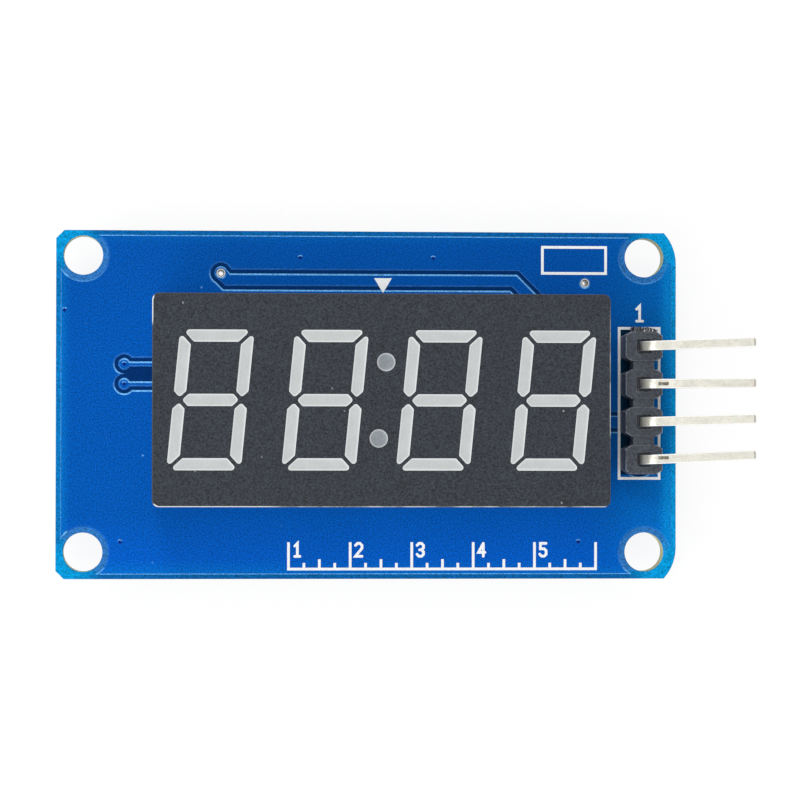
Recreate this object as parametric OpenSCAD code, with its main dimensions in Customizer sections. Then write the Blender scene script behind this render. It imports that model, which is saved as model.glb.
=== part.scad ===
// Four-digit seven segment display module, in millimetres.
// A blue circuit board carries an LED display and a bent pin header on its front,
// and a driver chip with a few small chip parts on its back.
// The origin is the centre of the four mounting holes, on the board's back face.
// +Z points out of the display's face and +X along the header's bent pins.

/* [Board] */
// Length of the board along X
board_l = 42; // [41.6:0.1:46]
// Width of the board along Y
board_w = 23.5; // [23.3:0.1:28]
// Thickness of the board with its copper
board_t = 1.6; // [0.8:0.1:2.4]
// How far the board's middle lies towards the header from the holes' middle
board_off_x = 0.18; // [0:0.02:0.4]
// How far the board's middle lies above the holes' middle
board_off_y = -0.06; // [-0.2:0.02:0.2]
// Distance between mounting holes along X
hole_gap_x = 38; // [37:0.1:38.4]
// Distance between mounting holes along Y
hole_gap_y = 20; // [19:0.1:20.2]
// Diameter of the mounting holes
hole_d = 2.65; // [2:0.05:2.8]
// Width of the copper-free ring around a mounting hole
hole_ring = 0.38; // [0.2:0.02:0.6]
// Cut at the two corners far from the header
corner_cut = 0.55; // [0.2:0.05:1]
// Radius of the two corners near the header
corner_r = 3.1; // [2.4:0.1:4]
// Height of those corners' centres below the board's long edge
corner_rise = 2.1; // [1.2:0.1:2.3]

/* [Copper] */
// Thickness of a copper layer
copper_t = 0.035; // [0.02:0.005:0.07]
// Gap between copper areas
copper_gap = 0.25; // [0.15:0.01:0.3]
// Bare strip between the copper and the board's edge
edge_gap = 0.32; // [0.2:0.02:0.5]
// Width of a signal track
track_w = 0.34; // [0.2:0.02:0.4]
// Width of the supply track
supply_w = 0.84; // [0.5:0.02:1]
// Thickness of the metal in a plated hole
plating_t = 0.05; // [0.02:0.005:0.1]
// Diameter of a via's hole
via_d = 0.36; // [0.2:0.02:0.4]
// Width of a via's copper ring
via_ring = 0.22; // [0.15:0.01:0.25]
// Thickness of the printed legend's ink
ink_t = 0.02; // [0.01:0.005:0.04]
// Width of the printed legend's lines
ink_w = 0.18; // [0.12:0.01:0.25]

/* [Display] */
// Length of the display
display_l = 30.1; // [29.8:0.1:31]
// Width of the display
display_w = 14; // [13.6:0.1:14.4]
// Height of the display above the board
display_h = 7.2; // [6.4:0.1:9]
// Place of the display's middle along X
display_x = 0.75; // [0.4:0.05:1.1]
// Place of the display's middle along Y
display_y = 0.18; // [-0.2:0.02:0.5]
// Radius of the display's upright corners
display_corner_r = 0.45; // [0.2:0.05:0.8]
// Thickness of the black coat on the face
coat_t = 0.06; // [0.03:0.01:0.12]
// White rim left around the coat
coat_inset = 0.07; // [0.04:0.01:0.2]
// Thickness of the housing's side walls
wall_t = 0.7; // [0.5:0.05:0.8]
// Depth of the housing's light wells
well_depth = 4.3; // [3.5:0.1:4.6]

/* [Digits] */
// Room between the display's ends and the cells of its outer digits
digit_end = 0.05; // [0:0.05:0.5]
// Height of a digit
digit_h = 9.2; // [8:0.1:9.6]
// Width of a digit
digit_w = 4.86; // [4.2:0.02:5]
// Width of a segment
segment_w = 0.8; // [0.6:0.05:1]
// Gap between segments
segment_gap = 0.25; // [0.15:0.01:0.35]
// Radius of a segment's corners
segment_r = 0.18; // [0.1:0.01:0.2]
// Slant of the digits in degrees
slant = 5.5; // [0:0.5:10]
// Diameter of a colon dot
dot_d = 1.2; // [0.8:0.05:1.5]
// Distance between the colon dots
dot_gap = 5; // [4:0.1:6]

/* [Light source] */
// Thickness of the board inside the display
carrier_t = 1; // [0.6:0.1:1.2]
// Resin around the edge of that board
carrier_gap = 0.25; // [0.15:0.05:0.4]
// Resin between that board and the light wells
film_t = 0.3; // [0.2:0.05:0.5]
// Side of a light emitting chip
led_side = 0.26; // [0.2:0.02:0.4]
// Height of a light emitting chip
led_h = 0.14; // [0.08:0.02:0.18]
// How far the resin stops short of the housing's lower edge
resin_inset = 0.3; // [0.1:0.05:0.5]

/* [Display pins] */
// Diameter of a display pin
display_pin_d = 0.5; // [0.4:0.02:0.6]
// Distance between neighbouring display pins
display_pin_pitch = 2.54; // [2.4:0.02:2.6]
// Distance from the display's long sides to its rows of pins
display_pin_inset = 1.92; // [1.7:0.02:2.2]

/* [Soldering] */
// How far the pins stand out of the board's back
pin_tail = 1.4; // [1.2:0.1:2]
// Room around a pin in its plated hole
hole_room = 0.15; // [0.1:0.01:0.2]
// Width of the solder pad around a plated hole
pad_ring = 0.35; // [0.25:0.01:0.45]
// Height of a solder cone
solder_h = 1; // [0.7:0.05:1.15]

/* [Header] */
// Distance between header pins
header_pitch = 2.54; // [2.5:0.01:2.7]
// Distance from the header's row to the board's edge
header_inset = 2.52; // [2.2:0.02:2.7]
// Least room between the display and the header's strip
strip_room = 0.4; // [0.2:0.05:1.5]
// Place of the header's middle along Y
header_y = 0.1; // [-0.3:0.05:0.4]
// Side of a square header pin
header_pin_w = 0.64; // [0.5:0.02:0.7]
// How far the header pins reach past the board's edge
header_reach = 4.9; // [3:0.1:12]
// Inner radius of a pin's bend
bend_r = 0.4; // [0.2:0.05:1]
// Straight rise of a pin between the strip and its bend
bend_rise = 0.2; // [0.1:0.05:1]
// Length of the taper at a pin's ends
tip_l = 0.16; // [0.05:0.01:0.3]
// Width of the plastic strip
strip_w = 2.5; // [2.2:0.05:2.54]
// Height of the plastic strip
strip_h = 2.5; // [2:0.1:3]
// Length of the neck between two cells of the strip
neck_l = 0.56; // [0.3:0.02:0.7]
// How far a neck is cut in from the strip's side
neck_cut = 0.55; // [0.45:0.01:0.7]
// How far a neck's top lies below the strip's top
neck_drop = 0.2; // [0.1:0.05:0.6]
// How far a neck's bottom lies above the board
neck_lift = 0.25; // [0.1:0.05:0.6]
// Length of a cell's corner cut along X
cell_cut_x = 0.42; // [0.2:0.02:0.44]
// Length of a cell's corner cut along Y
cell_cut_y = 0.26; // [0.15:0.01:0.4]
// Side of the square recess around a pin
recess_w = 0.96; // [0.8:0.02:1.1]
// Depth of that recess
recess_d = 0.25; // [0.1:0.05:0.5]

/* [Driver chip] */
// Length of the chip's body along Y
driver_l = 12.8; // [12.2:0.1:13]
// Width of the chip's body along X
driver_w = 7.5; // [7:0.1:7.6]
// Height of the chip's body
driver_h = 2.3; // [1.6:0.1:2.6]
// Place of the chip's middle along X
driver_x = -12.7; // [-12.9:0.05:-12.4]
// Room between the chip's body and the board
driver_room = 0.1; // [0.05:0.01:0.2]
// How far the body's faces are drawn in from its middle
driver_draft = 0.13; // [0.05:0.01:0.25]
// Distance between neighbouring leads
lead_pitch = 1.27; // [1.2:0.01:1.3]
// Width of a lead
lead_w = 0.4; // [0.3:0.02:0.5]
// Thickness of a lead
lead_t = 0.25; // [0.15:0.01:0.3]
// Distance over the leads of both sides
lead_span = 10.3; // [10:0.05:10.6]
// Length of a lead's foot on its pad
foot_l = 0.8; // [0.5:0.05:0.9]

/* [Chip parts] */
// Length of a chip part
chip_l = 2; // [1.6:0.05:2.2]
// Width of a chip part
chip_w = 1.25; // [0.8:0.05:1.4]
// Height of a chip capacitor
capacitor_h = 0.85; // [0.5:0.05:1.2]
// Height of a chip resistor
resistor_h = 0.5; // [0.35:0.05:0.7]
// Length of a metal end
chip_end = 0.38; // [0.2:0.02:0.5]
// Thickness of a metal end
chip_end_t = 0.03; // [0.02:0.005:0.06]

/* [Hidden] */
$fn = 48;
DIGITS = 4;
HEADER_PINS = 4;
PINS_IN_ROW = 6;
LEADS_IN_ROW = 10;
ARC_STEPS = 4;
// How far a cutting shape runs past the face that it cuts.
PAST = 1;

// Board edges and levels. The board's end moves out where a longer display needs the room.
// The copper layers fill the board's thickness to its two faces.
x_left = min(board_off_x - board_l / 2, display_x - display_l / 2 - strip_room);
x_right = max(board_off_x + board_l / 2, display_x + display_l / 2 + strip_room + strip_w / 2 + header_inset);
y_low = board_off_y - board_w / 2;
y_high = board_off_y + board_w / 2;
z_laminate = board_t - copper_t;
hole_x = hole_gap_x / 2;
hole_y = hole_gap_y / 2;
ring_r = hole_d / 2 + hole_ring;

// Display levels, counted down from its face.
z_face = board_t + display_h;
z_coat = z_face - coat_t;
z_wells = z_face - well_depth;
z_carrier = z_wells - film_t;
z_potting = z_carrier - carrier_t;
z_resin = board_t + resin_inset;
cavity_l = display_l - 2 * wall_t;
cavity_w = display_w - 2 * wall_t;
carrier_l = cavity_l - 2 * carrier_gap;
carrier_w = cavity_w - 2 * carrier_gap;
lean = tan(slant);
digit_pitch = (display_l - 2 * digit_end) / DIGITS;
display_row_gap = display_w - 2 * display_pin_inset;

// Plated holes, as the radius of the pin's circle, of the hole and of its pad.
display_hole_r = display_pin_d / 2 + hole_room;
display_pad_r = display_hole_r + plating_t + pad_ring;
header_hole_r = header_pin_w * sqrt(2) / 2 + hole_room / 2;
header_pad_r = header_hole_r + plating_t + pad_ring;
via_pad_r = via_d / 2 + via_ring;
via_bare_r = via_d / 2 + via_ring / 2;

// The header's row, and how the bent pins lie. Each pin is turned a little by hand.
header_x = x_right - header_inset;
header_turns = [2.2, 0.6, 1.6, 2.6];
z_bend = board_t + strip_h + bend_rise;
bend_mid_r = bend_r + header_pin_w / 2;
z_arm = z_bend + bend_mid_r;
cell_half = (header_pitch - neck_l) / 2;

// The driver chip's pads and leads. Its body's middle plane is where the leads come out.
z_driver_mid = -driver_room - driver_h / 2;
pad_l = 1.5;
pad_w = 0.62;
lead_pad_x = lead_span / 2 - foot_l / 2;
lead_root = 0.5;

// Pads of the chip parts.
chip_pad_l = 1;
chip_pad_w = chip_w + 0.1;
chip_pad_x = chip_l / 2;

// Places of the display's pins, row by row from the left, and of the header's pins from the top.
display_pin_places = [for (row = [-1, 1]) for (i = [0 : PINS_IN_ROW - 1])
  [display_x + (i - (PINS_IN_ROW - 1) / 2) * display_pin_pitch, display_y + row * display_row_gap / 2]];
function header_pin_y(i) = header_y + ((HEADER_PINS - 1) / 2 - i) * header_pitch;
header_pin_places = [for (i = [0 : HEADER_PINS - 1]) [header_x, header_pin_y(i)]];

// Places of the chip's leads: side -1 is the board's edge side and 1 the display's side.
function lead_y(i) = ((LEADS_IN_ROW - 1) / 2 - i) * lead_pitch;

// Chip parts: two capacitors by the supply via, then a resistor and a capacitor for each signal.
supply_via = [driver_x + 2.95, y_high - 2.86];
capacitor_places = [
  [supply_via[0] + 2.75, supply_via[1] + 0.55],
  [supply_via[0] + 2.75, supply_via[1] - 1.65],
  [header_x - 6.4, header_y + 3.1],
  [header_x - 6.4, header_y - 1.3]
];
resistor_places = [
  [header_x - 6.4, header_y + 5.3],
  [header_x - 6.4, header_y + 0.9]
];
chip_places = concat(capacitor_places, resistor_places);

// Vias: two open ones with bare rings, two at the chip's signal leads, one for the resistors,
// and closed ones that tie the copper of both faces together.
signal_vias = [for (side = [1, -1]) [driver_x - 3.54, lead_y(3) + 0.1 + side * 0.67]];
edge_via = [header_x - 3.72, y_high - 3.42];
resistor_via = [header_x - 8.9, header_y + 3.1];
open_vias = [supply_via, edge_via];
closed_vias = concat(signal_vias, [
  resistor_via,
  [driver_x - 0.8, lead_y(0) + 0.8],
  [x_left + edge_gap + 0.25, 6.3],
  [-4.4, y_high - 1.8],
  [4.6, y_high - 1.8],
  [-16.5, y_low + 2.5],
  [14.5, y_low + 2.5]
]);

// Front tracks: the supply from the header's third pin to its via, and two signals that
// start at their vias and run under the display to its last pins.
supply_pad_r = supply_w / 2 + 0.03;
supply_drop = supply_w / 2 + 0.02;
supply_lane_y = supply_via[1] - supply_drop;
supply_lane_x = header_x - 4.66;
supply_track = [
  header_pin_places[2],
  [supply_lane_x, header_pin_y(2)],
  [supply_lane_x, supply_lane_y - 3.86],
  [supply_lane_x - 3.86, supply_lane_y],
  [supply_via[0] + supply_drop, supply_lane_y],
  supply_via
];
supply_branch = [[supply_lane_x, resistor_via[1]], resistor_via];
last_top_pin = display_pin_places[2 * PINS_IN_ROW - 1];
last_low_pin = display_pin_places[PINS_IN_ROW - 1];
function to_pin(start, pin) =
  [start, [pin[0] - abs(pin[1] - start[1]), start[1]], pin];
front_signals = [to_pin(signal_vias[0], last_top_pin), to_pin(signal_vias[1], last_low_pin)];

// Back tracks: each lead on the display's side fans out to a pin of the display.
// The outer leads go to the near pins, so no track crosses another.
lane_step = 0.56;
pad_x = driver_x + lead_pad_x;
function fan_track(row, i) =
  let (pin = display_pin_places[(row > 0 ? PINS_IN_ROW : 0) + i],
       start = [pad_x, row * lead_y(i)],
       lane = pin[1] - row * (1.28 + lane_step * i),
       drop = abs(start[1] - lane))
  i == 0
    ? [start, [start[0] + 1.2, start[1]], [start[0] + 1.2 + abs(pin[1] - start[1]), pin[1]], pin]
    : [start, [start[0] + 0.9, start[1]], [start[0] + 0.9 + drop, lane],
       [pin[0] - abs(pin[1] - lane), lane], pin];
clock_lane_y = y_high - edge_gap - 0.7;
data_lane_y = display_y - display_row_gap / 2 - 2.3;
edge_pad_x = driver_x - lead_pad_x;
clock_x = header_x - 2.7;
data_x = header_x - 2.4;
clock_track = [
  header_pin_places[0],
  [clock_x, header_pin_y(0) + header_x - clock_x],
  [clock_x, clock_lane_y - 0.9],
  [clock_x - 0.9, clock_lane_y],
  [edge_pad_x + 2.1, clock_lane_y],
  [edge_pad_x, clock_lane_y - 2.1],
  [edge_pad_x, lead_y(0)]
];
data_track = [
  header_pin_places[1],
  [data_x, header_pin_y(1)],
  [data_x, data_lane_y + 1],
  [data_x - 1, data_lane_y],
  [edge_pad_x + abs(data_lane_y - lead_y(9)), data_lane_y],
  [edge_pad_x, lead_y(9)]
];
supply_back = [supply_via, [supply_via[0] - (supply_via[1] - lead_y(1)), lead_y(1)], [edge_pad_x, lead_y(1)]];
function pad_at(place, side) = [place[0] + side * chip_pad_x, place[1]];
via_rise = capacitor_places[0][1] - supply_via[1];
capacitor_feed = [
  supply_via,
  supply_via + [via_rise, via_rise],
  pad_at(capacitor_places[0], -1),
  pad_at(capacitor_places[1], -1)
];
resistor_feed = [
  pad_at(resistor_places[0], -1),
  [resistor_via[0], resistor_places[0][1] - 1.2],
  [resistor_via[0], resistor_places[1][1] + 1.2],
  pad_at(resistor_places[1], -1)
];
clock_branch = [
  [header_x - (resistor_places[0][1] - header_pin_y(0)), resistor_places[0][1]],
  pad_at(resistor_places[0], 1),
  pad_at(capacitor_places[2], 1)
];
data_branch = [
  [data_x, header_pin_y(1)],
  [pad_at(resistor_places[1], 1)[0], header_pin_y(1)],
  pad_at(capacitor_places[3], 1)
];
signal_links = [for (k = [0, 1]) let (via = signal_vias[k], y = lead_y(2 + k))
  [via, [via[0] - abs(y - via[1]), y], [edge_pad_x, y]]];
back_signals = concat(
  [for (row = [-1, 1]) for (i = [0 : PINS_IN_ROW - 2]) fan_track(row, i)],
  [clock_track, data_track, supply_back, capacitor_feed, resistor_feed, clock_branch, data_branch],
  signal_links
);
// Short bridges that tie ground pads to the copper around them.
ground_links = concat(
  [for (k = [0, 1]) [pad_at(capacitor_places[k], 1), pad_at(capacitor_places[k], 1) + [1.2, 0]]],
  [for (k = [2, 3]) [pad_at(capacitor_places[k], -1), pad_at(capacitor_places[k], -1) - [0, 1.25]]],
  [[[edge_pad_x, lead_y(8)], [edge_pad_x + 2.2, lead_y(8)]]],
  [[header_pin_places[3] - [1.6, 0], header_pin_places[3] + [1.6, 0]]]
);

function unit(v) = v / norm(v);
function left_of(v) = [-v[1], v[0]];

// A band of width w along an open path, mitred at its bends.
function band_offset(path, i) =
  let (last = len(path) - 1,
       a = left_of(unit(path[max(i, 1)] - path[max(i, 1) - 1])),
       b = left_of(unit(path[min(i, last - 1) + 1] - path[min(i, last - 1)])))
  (a + b) / (1 + a * b);
function band(path, w) = concat(
  [for (i = [0 : len(path) - 1]) path[i] - band_offset(path, i) * w / 2],
  [for (i = [len(path) - 1 : -1 : 0]) path[i] + band_offset(path, i) * w / 2]
);

// The arc that rounds corner p between its neighbours, from the first side to the second.
function corner_arc(before, p, after, r) =
  let (u = unit(before - p),
       v = unit(after - p),
       half = acos(u * v) / 2,
       mid = p + unit(u + v) * r / sin(half),
       first = p + u * r / tan(half) - mid,
       last = p + v * r / tan(half) - mid,
       a = atan2(first[1], first[0]),
       turn = (atan2(last[1], last[0]) - a + 540) % 360 - 180)
  [for (k = [0 : ARC_STEPS]) mid + r * [cos(a + turn * k / ARC_STEPS), sin(a + turn * k / ARC_STEPS)]];
function rounded(points, r) =
  let (n = len(points))
  [for (i = [0 : n - 1]) each corner_arc(points[(i + n - 1) % n], points[i], points[(i + 1) % n], r)];
function rounded_path(path, r) = concat(
  [path[0]],
  [for (i = [1 : len(path) - 2]) each corner_arc(path[i - 1], path[i], path[i + 1], r)],
  [path[len(path) - 1]]
);
function leaned(points) = [for (p = points) [p[0] + lean * p[1], p[1]]];

// Segments of an upright digit centred on the origin: top bar, upper right upright, middle bar.
seg_x = digit_w / 2;
seg_y = digit_h / 2;
seg_k = segment_gap / sqrt(2);
top_bar = [
  [-seg_x + seg_k, seg_y],
  [seg_x - seg_k, seg_y],
  [seg_x - segment_w - seg_k, seg_y - segment_w],
  [-seg_x + segment_w + seg_k, seg_y - segment_w]
];
upright = [
  [seg_x, seg_y - seg_k],
  [seg_x - segment_w, seg_y - segment_w - seg_k],
  [seg_x - segment_w, segment_w / 2 + seg_k],
  [seg_x - segment_w / 2, seg_k],
  [seg_x, segment_w / 2 + seg_k]
];
middle_bar = [
  [seg_x - segment_w / 2 - seg_k, 0],
  [seg_x - segment_w - seg_k, segment_w / 2],
  [-seg_x + segment_w + seg_k, segment_w / 2],
  [-seg_x + segment_w / 2 + seg_k, 0],
  [-seg_x + segment_w + seg_k, -segment_w / 2],
  [seg_x - segment_w - seg_k, -segment_w / 2]
];
function flipped(points, fx, fy) = [for (p = points) [fx * p[0], fy * p[1]]];
digit_segments = concat(
  [top_bar, flipped(top_bar, 1, -1), middle_bar],
  [for (fx = [-1, 1]) for (fy = [-1, 1]) flipped(upright, fx, fy)]
);
// The middle of each segment, where its light emitting chip sits.
upright_mid = [seg_x - segment_w / 2, seg_y / 2];
digit_lights = concat(
  [[0, seg_y - segment_w / 2], [0, segment_w / 2 - seg_y], [0, 0]],
  [for (fx = [-1, 1]) for (fy = [-1, 1]) [fx * upright_mid[0], fy * upright_mid[1]]]
);
dot_places = [for (side = [-1, 1]) [lean * side * dot_gap / 2, side * dot_gap / 2]];
function digit_x(i) = (i - (DIGITS - 1) / 2) * digit_pitch;

// Strokes of the plain numbers in the legend, on a grid two wide and four high.
STROKES = [
  [[[0, 0.6], [0.6, 0], [1.4, 0], [2, 0.6], [2, 3.4], [1.4, 4], [0.6, 4], [0, 3.4], [0, 0.6]]],
  [[[0.3, 3.2], [1.1, 4], [1.1, 0]], [[0.3, 0], [1.9, 0]]],
  [[[0, 3.4], [0.6, 4], [1.4, 4], [2, 3.4], [2, 2.5], [0, 0], [2, 0]]],
  [[[0, 3.4], [0.6, 4], [1.4, 4], [2, 3.4], [2, 2.6], [1.4, 2], [2, 1.4], [2, 0.6], [1.4, 0], [0.6, 0], [0, 0.6]],
   [[0.8, 2], [1.4, 2]]],
  [[[1.5, 0], [1.5, 4]], [[1.5, 4], [0, 1.2], [2, 1.2]]],
  [[[2, 4], [0.2, 4], [0.2, 2.3], [1.4, 2.3], [2, 1.7], [2, 0.6], [1.4, 0], [0.6, 0], [0, 0.6]]]
];

module at_z(z) {
  translate([0, 0, z]) children();
}

module at_places(places) {
  for (p = places) translate([p[0], p[1], 0]) children();
}

module rounded_rect(l, w, r) {
  square([l - 2 * r, w], center = true);
  square([l, w - 2 * r], center = true);
  for (x = [-1, 1], y = [-1, 1]) translate([x * (l / 2 - r), y * (w / 2 - r)]) circle(r);
}

module tracks(paths, w) {
  for (p = paths) polygon(band(p, w));
}

// The board's outline, drawn in from its edge by gap: two cut corners and two rounded ones.
module board_outline(gap) {
  x1 = x_right - gap;
  r = corner_r - gap;
  rise = corner_rise - gap;
  difference() {
    polygon([
      [x_left + gap, y_low + gap + corner_cut], [x_left + gap + corner_cut, y_low + gap],
      [x1, y_low + gap], [x1, y_high - gap],
      [x_left + gap + corner_cut, y_high - gap], [x_left + gap, y_high - gap - corner_cut]
    ]);
    for (side = [-1, 1])
      translate([x1 - r, side > 0 ? y_high - gap - rise : y_low + gap + rise])
        difference() {
          translate([0, side > 0 ? 0 : -rise - PAST]) square([r + PAST, rise + PAST]);
          circle(r);
        }
  }
}

module mounting_holes_at(r) {
  for (x = [-1, 1], y = [-1, 1]) translate([x * hole_x, y * hole_y]) circle(r);
}

// Where the copper stays away from a mounting hole and from the corner behind it.
module corner_clearings() {
  mounting_holes_at(ring_r);
  for (x = [-1, 1], y = [-1, 1])
    translate([x * (hole_x + 4 - hole_ring), y * (hole_y + 4 - hole_ring)]) square(8, center = true);
}

module lead_pads() {
  for (side = [-1, 1], i = [0 : LEADS_IN_ROW - 1])
    translate([driver_x + side * lead_pad_x, lead_y(i)]) square([pad_l, pad_w], center = true);
}

module chip_pads() {
  for (p = chip_places, side = [-1, 1])
    translate(pad_at(p, side)) square([chip_pad_l, chip_pad_w], center = true);
}

// Where the back copper stays away from the chip's rows of pads, from the start of the tracks
// that fan out on the display's side, and from under the chip parts.
module part_clearings() {
  row_w = 2 * lead_y(0) + pad_w + 2 * copper_gap;
  for (side = [-1, 1])
    translate([driver_x + side * lead_pad_x, 0]) square([pad_l + 2 * copper_gap, row_w], center = true);
  translate([pad_x + pad_l / 2, 0]) square([3, row_w], center = true);
  at_places(chip_places)
    square([chip_l + chip_pad_l + 2 * copper_gap, chip_pad_w + 2 * copper_gap], center = true);
}

module hole_pads_at(grow) {
  at_places(display_pin_places) circle(display_pad_r + grow);
  at_places(header_pin_places) circle(header_pad_r + grow);
}

// The laminate between the copper layers, with every hole that is drilled in it.
module circuit_board() {
  color("deepskyblue") difference() {
    at_z(copper_t) linear_extrude(board_t - 2 * copper_t) board_outline(0);
    at_z(-PAST) linear_extrude(board_t + 2 * PAST) {
      mounting_holes_at(hole_d / 2);
      at_places(display_pin_places) circle(display_hole_r + plating_t);
      at_places(header_pin_places) circle(header_hole_r + plating_t);
      at_places(open_vias) circle(via_d / 2 + plating_t);
      at_places(closed_vias) circle(via_d / 2);
    }
  }
}

module front_copper() {
  color("mediumblue") at_z(z_laminate) linear_extrude(copper_t) difference() {
    union() {
      difference() {
        board_outline(edge_gap);
        corner_clearings();
        tracks([supply_track, supply_branch], supply_w + 2 * copper_gap);
        tracks(front_signals, track_w + 2 * copper_gap);
        at_places([supply_via]) circle(supply_pad_r + copper_gap);
        at_places(concat(signal_vias, [resistor_via])) circle(via_pad_r + copper_gap);
        // No copper is left between the two signal tracks.
        translate([signal_vias[1][0], signal_vias[1][1]])
          square([display_x - signal_vias[1][0], signal_vias[0][1] - signal_vias[1][1]]);
        hole_pads_at(copper_gap);
      }
      tracks([supply_track, supply_branch], supply_w);
      tracks(front_signals, track_w);
      at_places([supply_via]) circle(supply_pad_r);
      at_places(concat(signal_vias, [resistor_via])) circle(via_pad_r);
    }
    hole_pads_at(0);
    at_places(open_vias) circle(via_bare_r);
    mounting_holes_at(ring_r);
  }
}

module back_copper() {
  color("mediumblue") linear_extrude(copper_t) difference() {
    union() {
      difference() {
        board_outline(edge_gap);
        corner_clearings();
        tracks(back_signals, track_w + 2 * copper_gap);
        at_places([supply_via, resistor_via]) circle(via_pad_r + copper_gap);
        at_places(signal_vias) circle(via_pad_r + copper_gap);
        hole_pads_at(copper_gap);
        part_clearings();
      }
      tracks(back_signals, track_w);
      tracks(ground_links, track_w);
      at_places([supply_via, resistor_via]) circle(via_pad_r);
      at_places(signal_vias) circle(via_pad_r);
    }
    hole_pads_at(0);
    lead_pads();
    chip_pads();
    at_places(open_vias) circle(via_bare_r);
    mounting_holes_at(ring_r);
  }
}

// A plated hole: a tube through the board with a flat ring at each face.
module plated_hole(hole_r, pad_r) {
  rotate_extrude() polygon([
    [hole_r, 0], [pad_r, 0], [pad_r, copper_t], [hole_r + plating_t, copper_t],
    [hole_r + plating_t, z_laminate], [pad_r, z_laminate], [pad_r, board_t], [hole_r, board_t]
  ]);
}

module hole_plating() {
  color("gainsboro") {
    at_places(display_pin_places) plated_hole(display_hole_r, display_pad_r);
    at_places(header_pin_places) plated_hole(header_hole_r, header_pad_r);
  }
}

// Open vias are plated tubes. The closed ones are filled, and the copper lies over them.
module via_plating() {
  color("silver") {
    at_places(open_vias) plated_hole(via_d / 2, via_bare_r);
    at_places(closed_vias) at_z(copper_t) cylinder(d = via_d, h = board_t - 2 * copper_t);
  }
}

module surface_pads() {
  color("gainsboro") linear_extrude(copper_t) {
    lead_pads();
    chip_pads();
  }
}

module number_mark(n, h) {
  for (path = STROKES[n]) {
    points = path * (h - ink_w) / 4;
    polygon(band(points, ink_w));
    at_places([points[0], points[len(points) - 1]]) circle(d = ink_w * 0.99);
  }
}

module line_box(l, w) {
  difference() {
    square([l, w], center = true);
    square([l - 2 * ink_w, w - 2 * ink_w], center = true);
  }
}

// Front legend: the header's box and first-pin number, an empty label box, a small
// arrowhead above the display and a plain scale below it.
box_l = strip_w + 0.06 + 2 * ink_w;
box_w = HEADER_PINS * header_pitch + 0.22;
scale_x = display_x - 6;
scale_y = y_low + 0.58;
scale_step = 4.17;
mark_h = 1.05;
label_l = 4.5;
label_w = 1.95;
module front_legend() {
  color("white") at_z(board_t) linear_extrude(ink_t) {
    translate([header_x, header_y]) line_box(box_l, box_w);
    translate([header_x - 0.25, header_y + box_w / 2 + 0.4]) number_mark(1, 1.2);
    translate([hole_x - ring_r - label_l / 2 - 0.845, y_high - 1.89]) line_box(label_l, label_w);
    translate([display_x + 0.45, display_y + display_w / 2 + 0.35])
      polygon([[-0.6, 1], [0.6, 1], [0, 0]]);
    translate([scale_x, scale_y]) {
      square([5 * scale_step + ink_w, ink_w]);
      for (i = [0 : 5]) translate([i * scale_step, 0]) square([ink_w, 1.9]);
      for (i = [0 : 4], k = [1 : 3]) translate([(i + k / 4) * scale_step, 0]) square([ink_w, k == 2 ? 0.75 : 0.5]);
      for (i = [0 : 4]) translate([i * scale_step + 0.45, 0.95]) number_mark(i + 1, mark_h);
    }
  }
}

// Back legend, read from behind: pin numbers, the chip's first-pin dot and short side lines.
module back_legend() {
  color("white") at_z(-ink_t) linear_extrude(ink_t) {
    for (i = [0 : HEADER_PINS - 1])
      translate([header_x + 1.95, header_pin_y(i) - mark_h / 2]) mirror([1, 0]) number_mark(i + 1, mark_h);
    for (y = [-1, 1])
      translate([driver_x, y * (driver_l / 2 + 0.35)]) square([driver_w - 1.4, ink_w], center = true);
    translate([driver_x - driver_w / 2 - 1.5, driver_l / 2 + 0.3]) circle(0.22);
    for (p = chip_places, side = [-1, 1])
      translate([p[0], p[1] + side * (chip_w / 2 + 0.22)]) square([0.72, ink_w], center = true);
  }
}

module digit_field() {
  for (i = [0 : DIGITS - 1], points = digit_segments)
    translate([digit_x(i), 0]) polygon(leaned(rounded(points, segment_r)));
  at_places(dot_places) circle(d = dot_d);
}

// One moulded housing: light wells from the face down, and a pocket open at the back.
module display_housing() {
  color("whitesmoke") translate([display_x, display_y, 0]) difference() {
    at_z(board_t) linear_extrude(z_coat - board_t) rounded_rect(display_l, display_w, display_corner_r);
    at_z(board_t - PAST) linear_extrude(z_wells - board_t + PAST) square([cavity_l, cavity_w], center = true);
    at_z(z_wells - PAST / 2) linear_extrude(well_depth + PAST) digit_field();
  }
}

module display_face_coat() {
  color([0.22, 0.22, 0.24]) translate([display_x, display_y, z_coat]) linear_extrude(coat_t) difference() {
    rounded_rect(display_l - 2 * coat_inset, display_w - 2 * coat_inset, display_corner_r);
    digit_field();
  }
}

module led_blocks(i) {
  at_places(i < DIGITS ? [for (p = leaned(digit_lights)) [digit_x(i) + p[0], p[1]]] : dot_places)
    at_z(z_carrier) translate([-led_side / 2, -led_side / 2, 0]) cube([led_side, led_side, led_h]);
}

// One casting of milky resin: it fills the wells, covers the light emitting chips
// and closes the back around the pins.
module display_resin() {
  color("lightgray") difference() {
    translate([display_x, display_y, 0]) difference() {
      union() {
        at_z(z_wells) linear_extrude(well_depth) digit_field();
        at_z(z_resin) linear_extrude(z_wells - z_resin) square([cavity_l, cavity_w], center = true);
      }
      at_z(z_potting) linear_extrude(carrier_t) square([carrier_l, carrier_w], center = true);
      for (i = [0 : DIGITS]) led_blocks(i);
    }
    at_places(display_pin_places) at_z(board_t) cylinder(d = display_pin_d, h = z_potting - board_t);
  }
}

module led_carrier_board() {
  color("seashell") difference() {
    translate([display_x, display_y, z_potting]) linear_extrude(carrier_t)
      square([carrier_l, carrier_w], center = true);
    at_places(display_pin_places) at_z(z_potting - PAST) cylinder(d = display_pin_d, h = carrier_t + 2 * PAST);
  }
}

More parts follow.
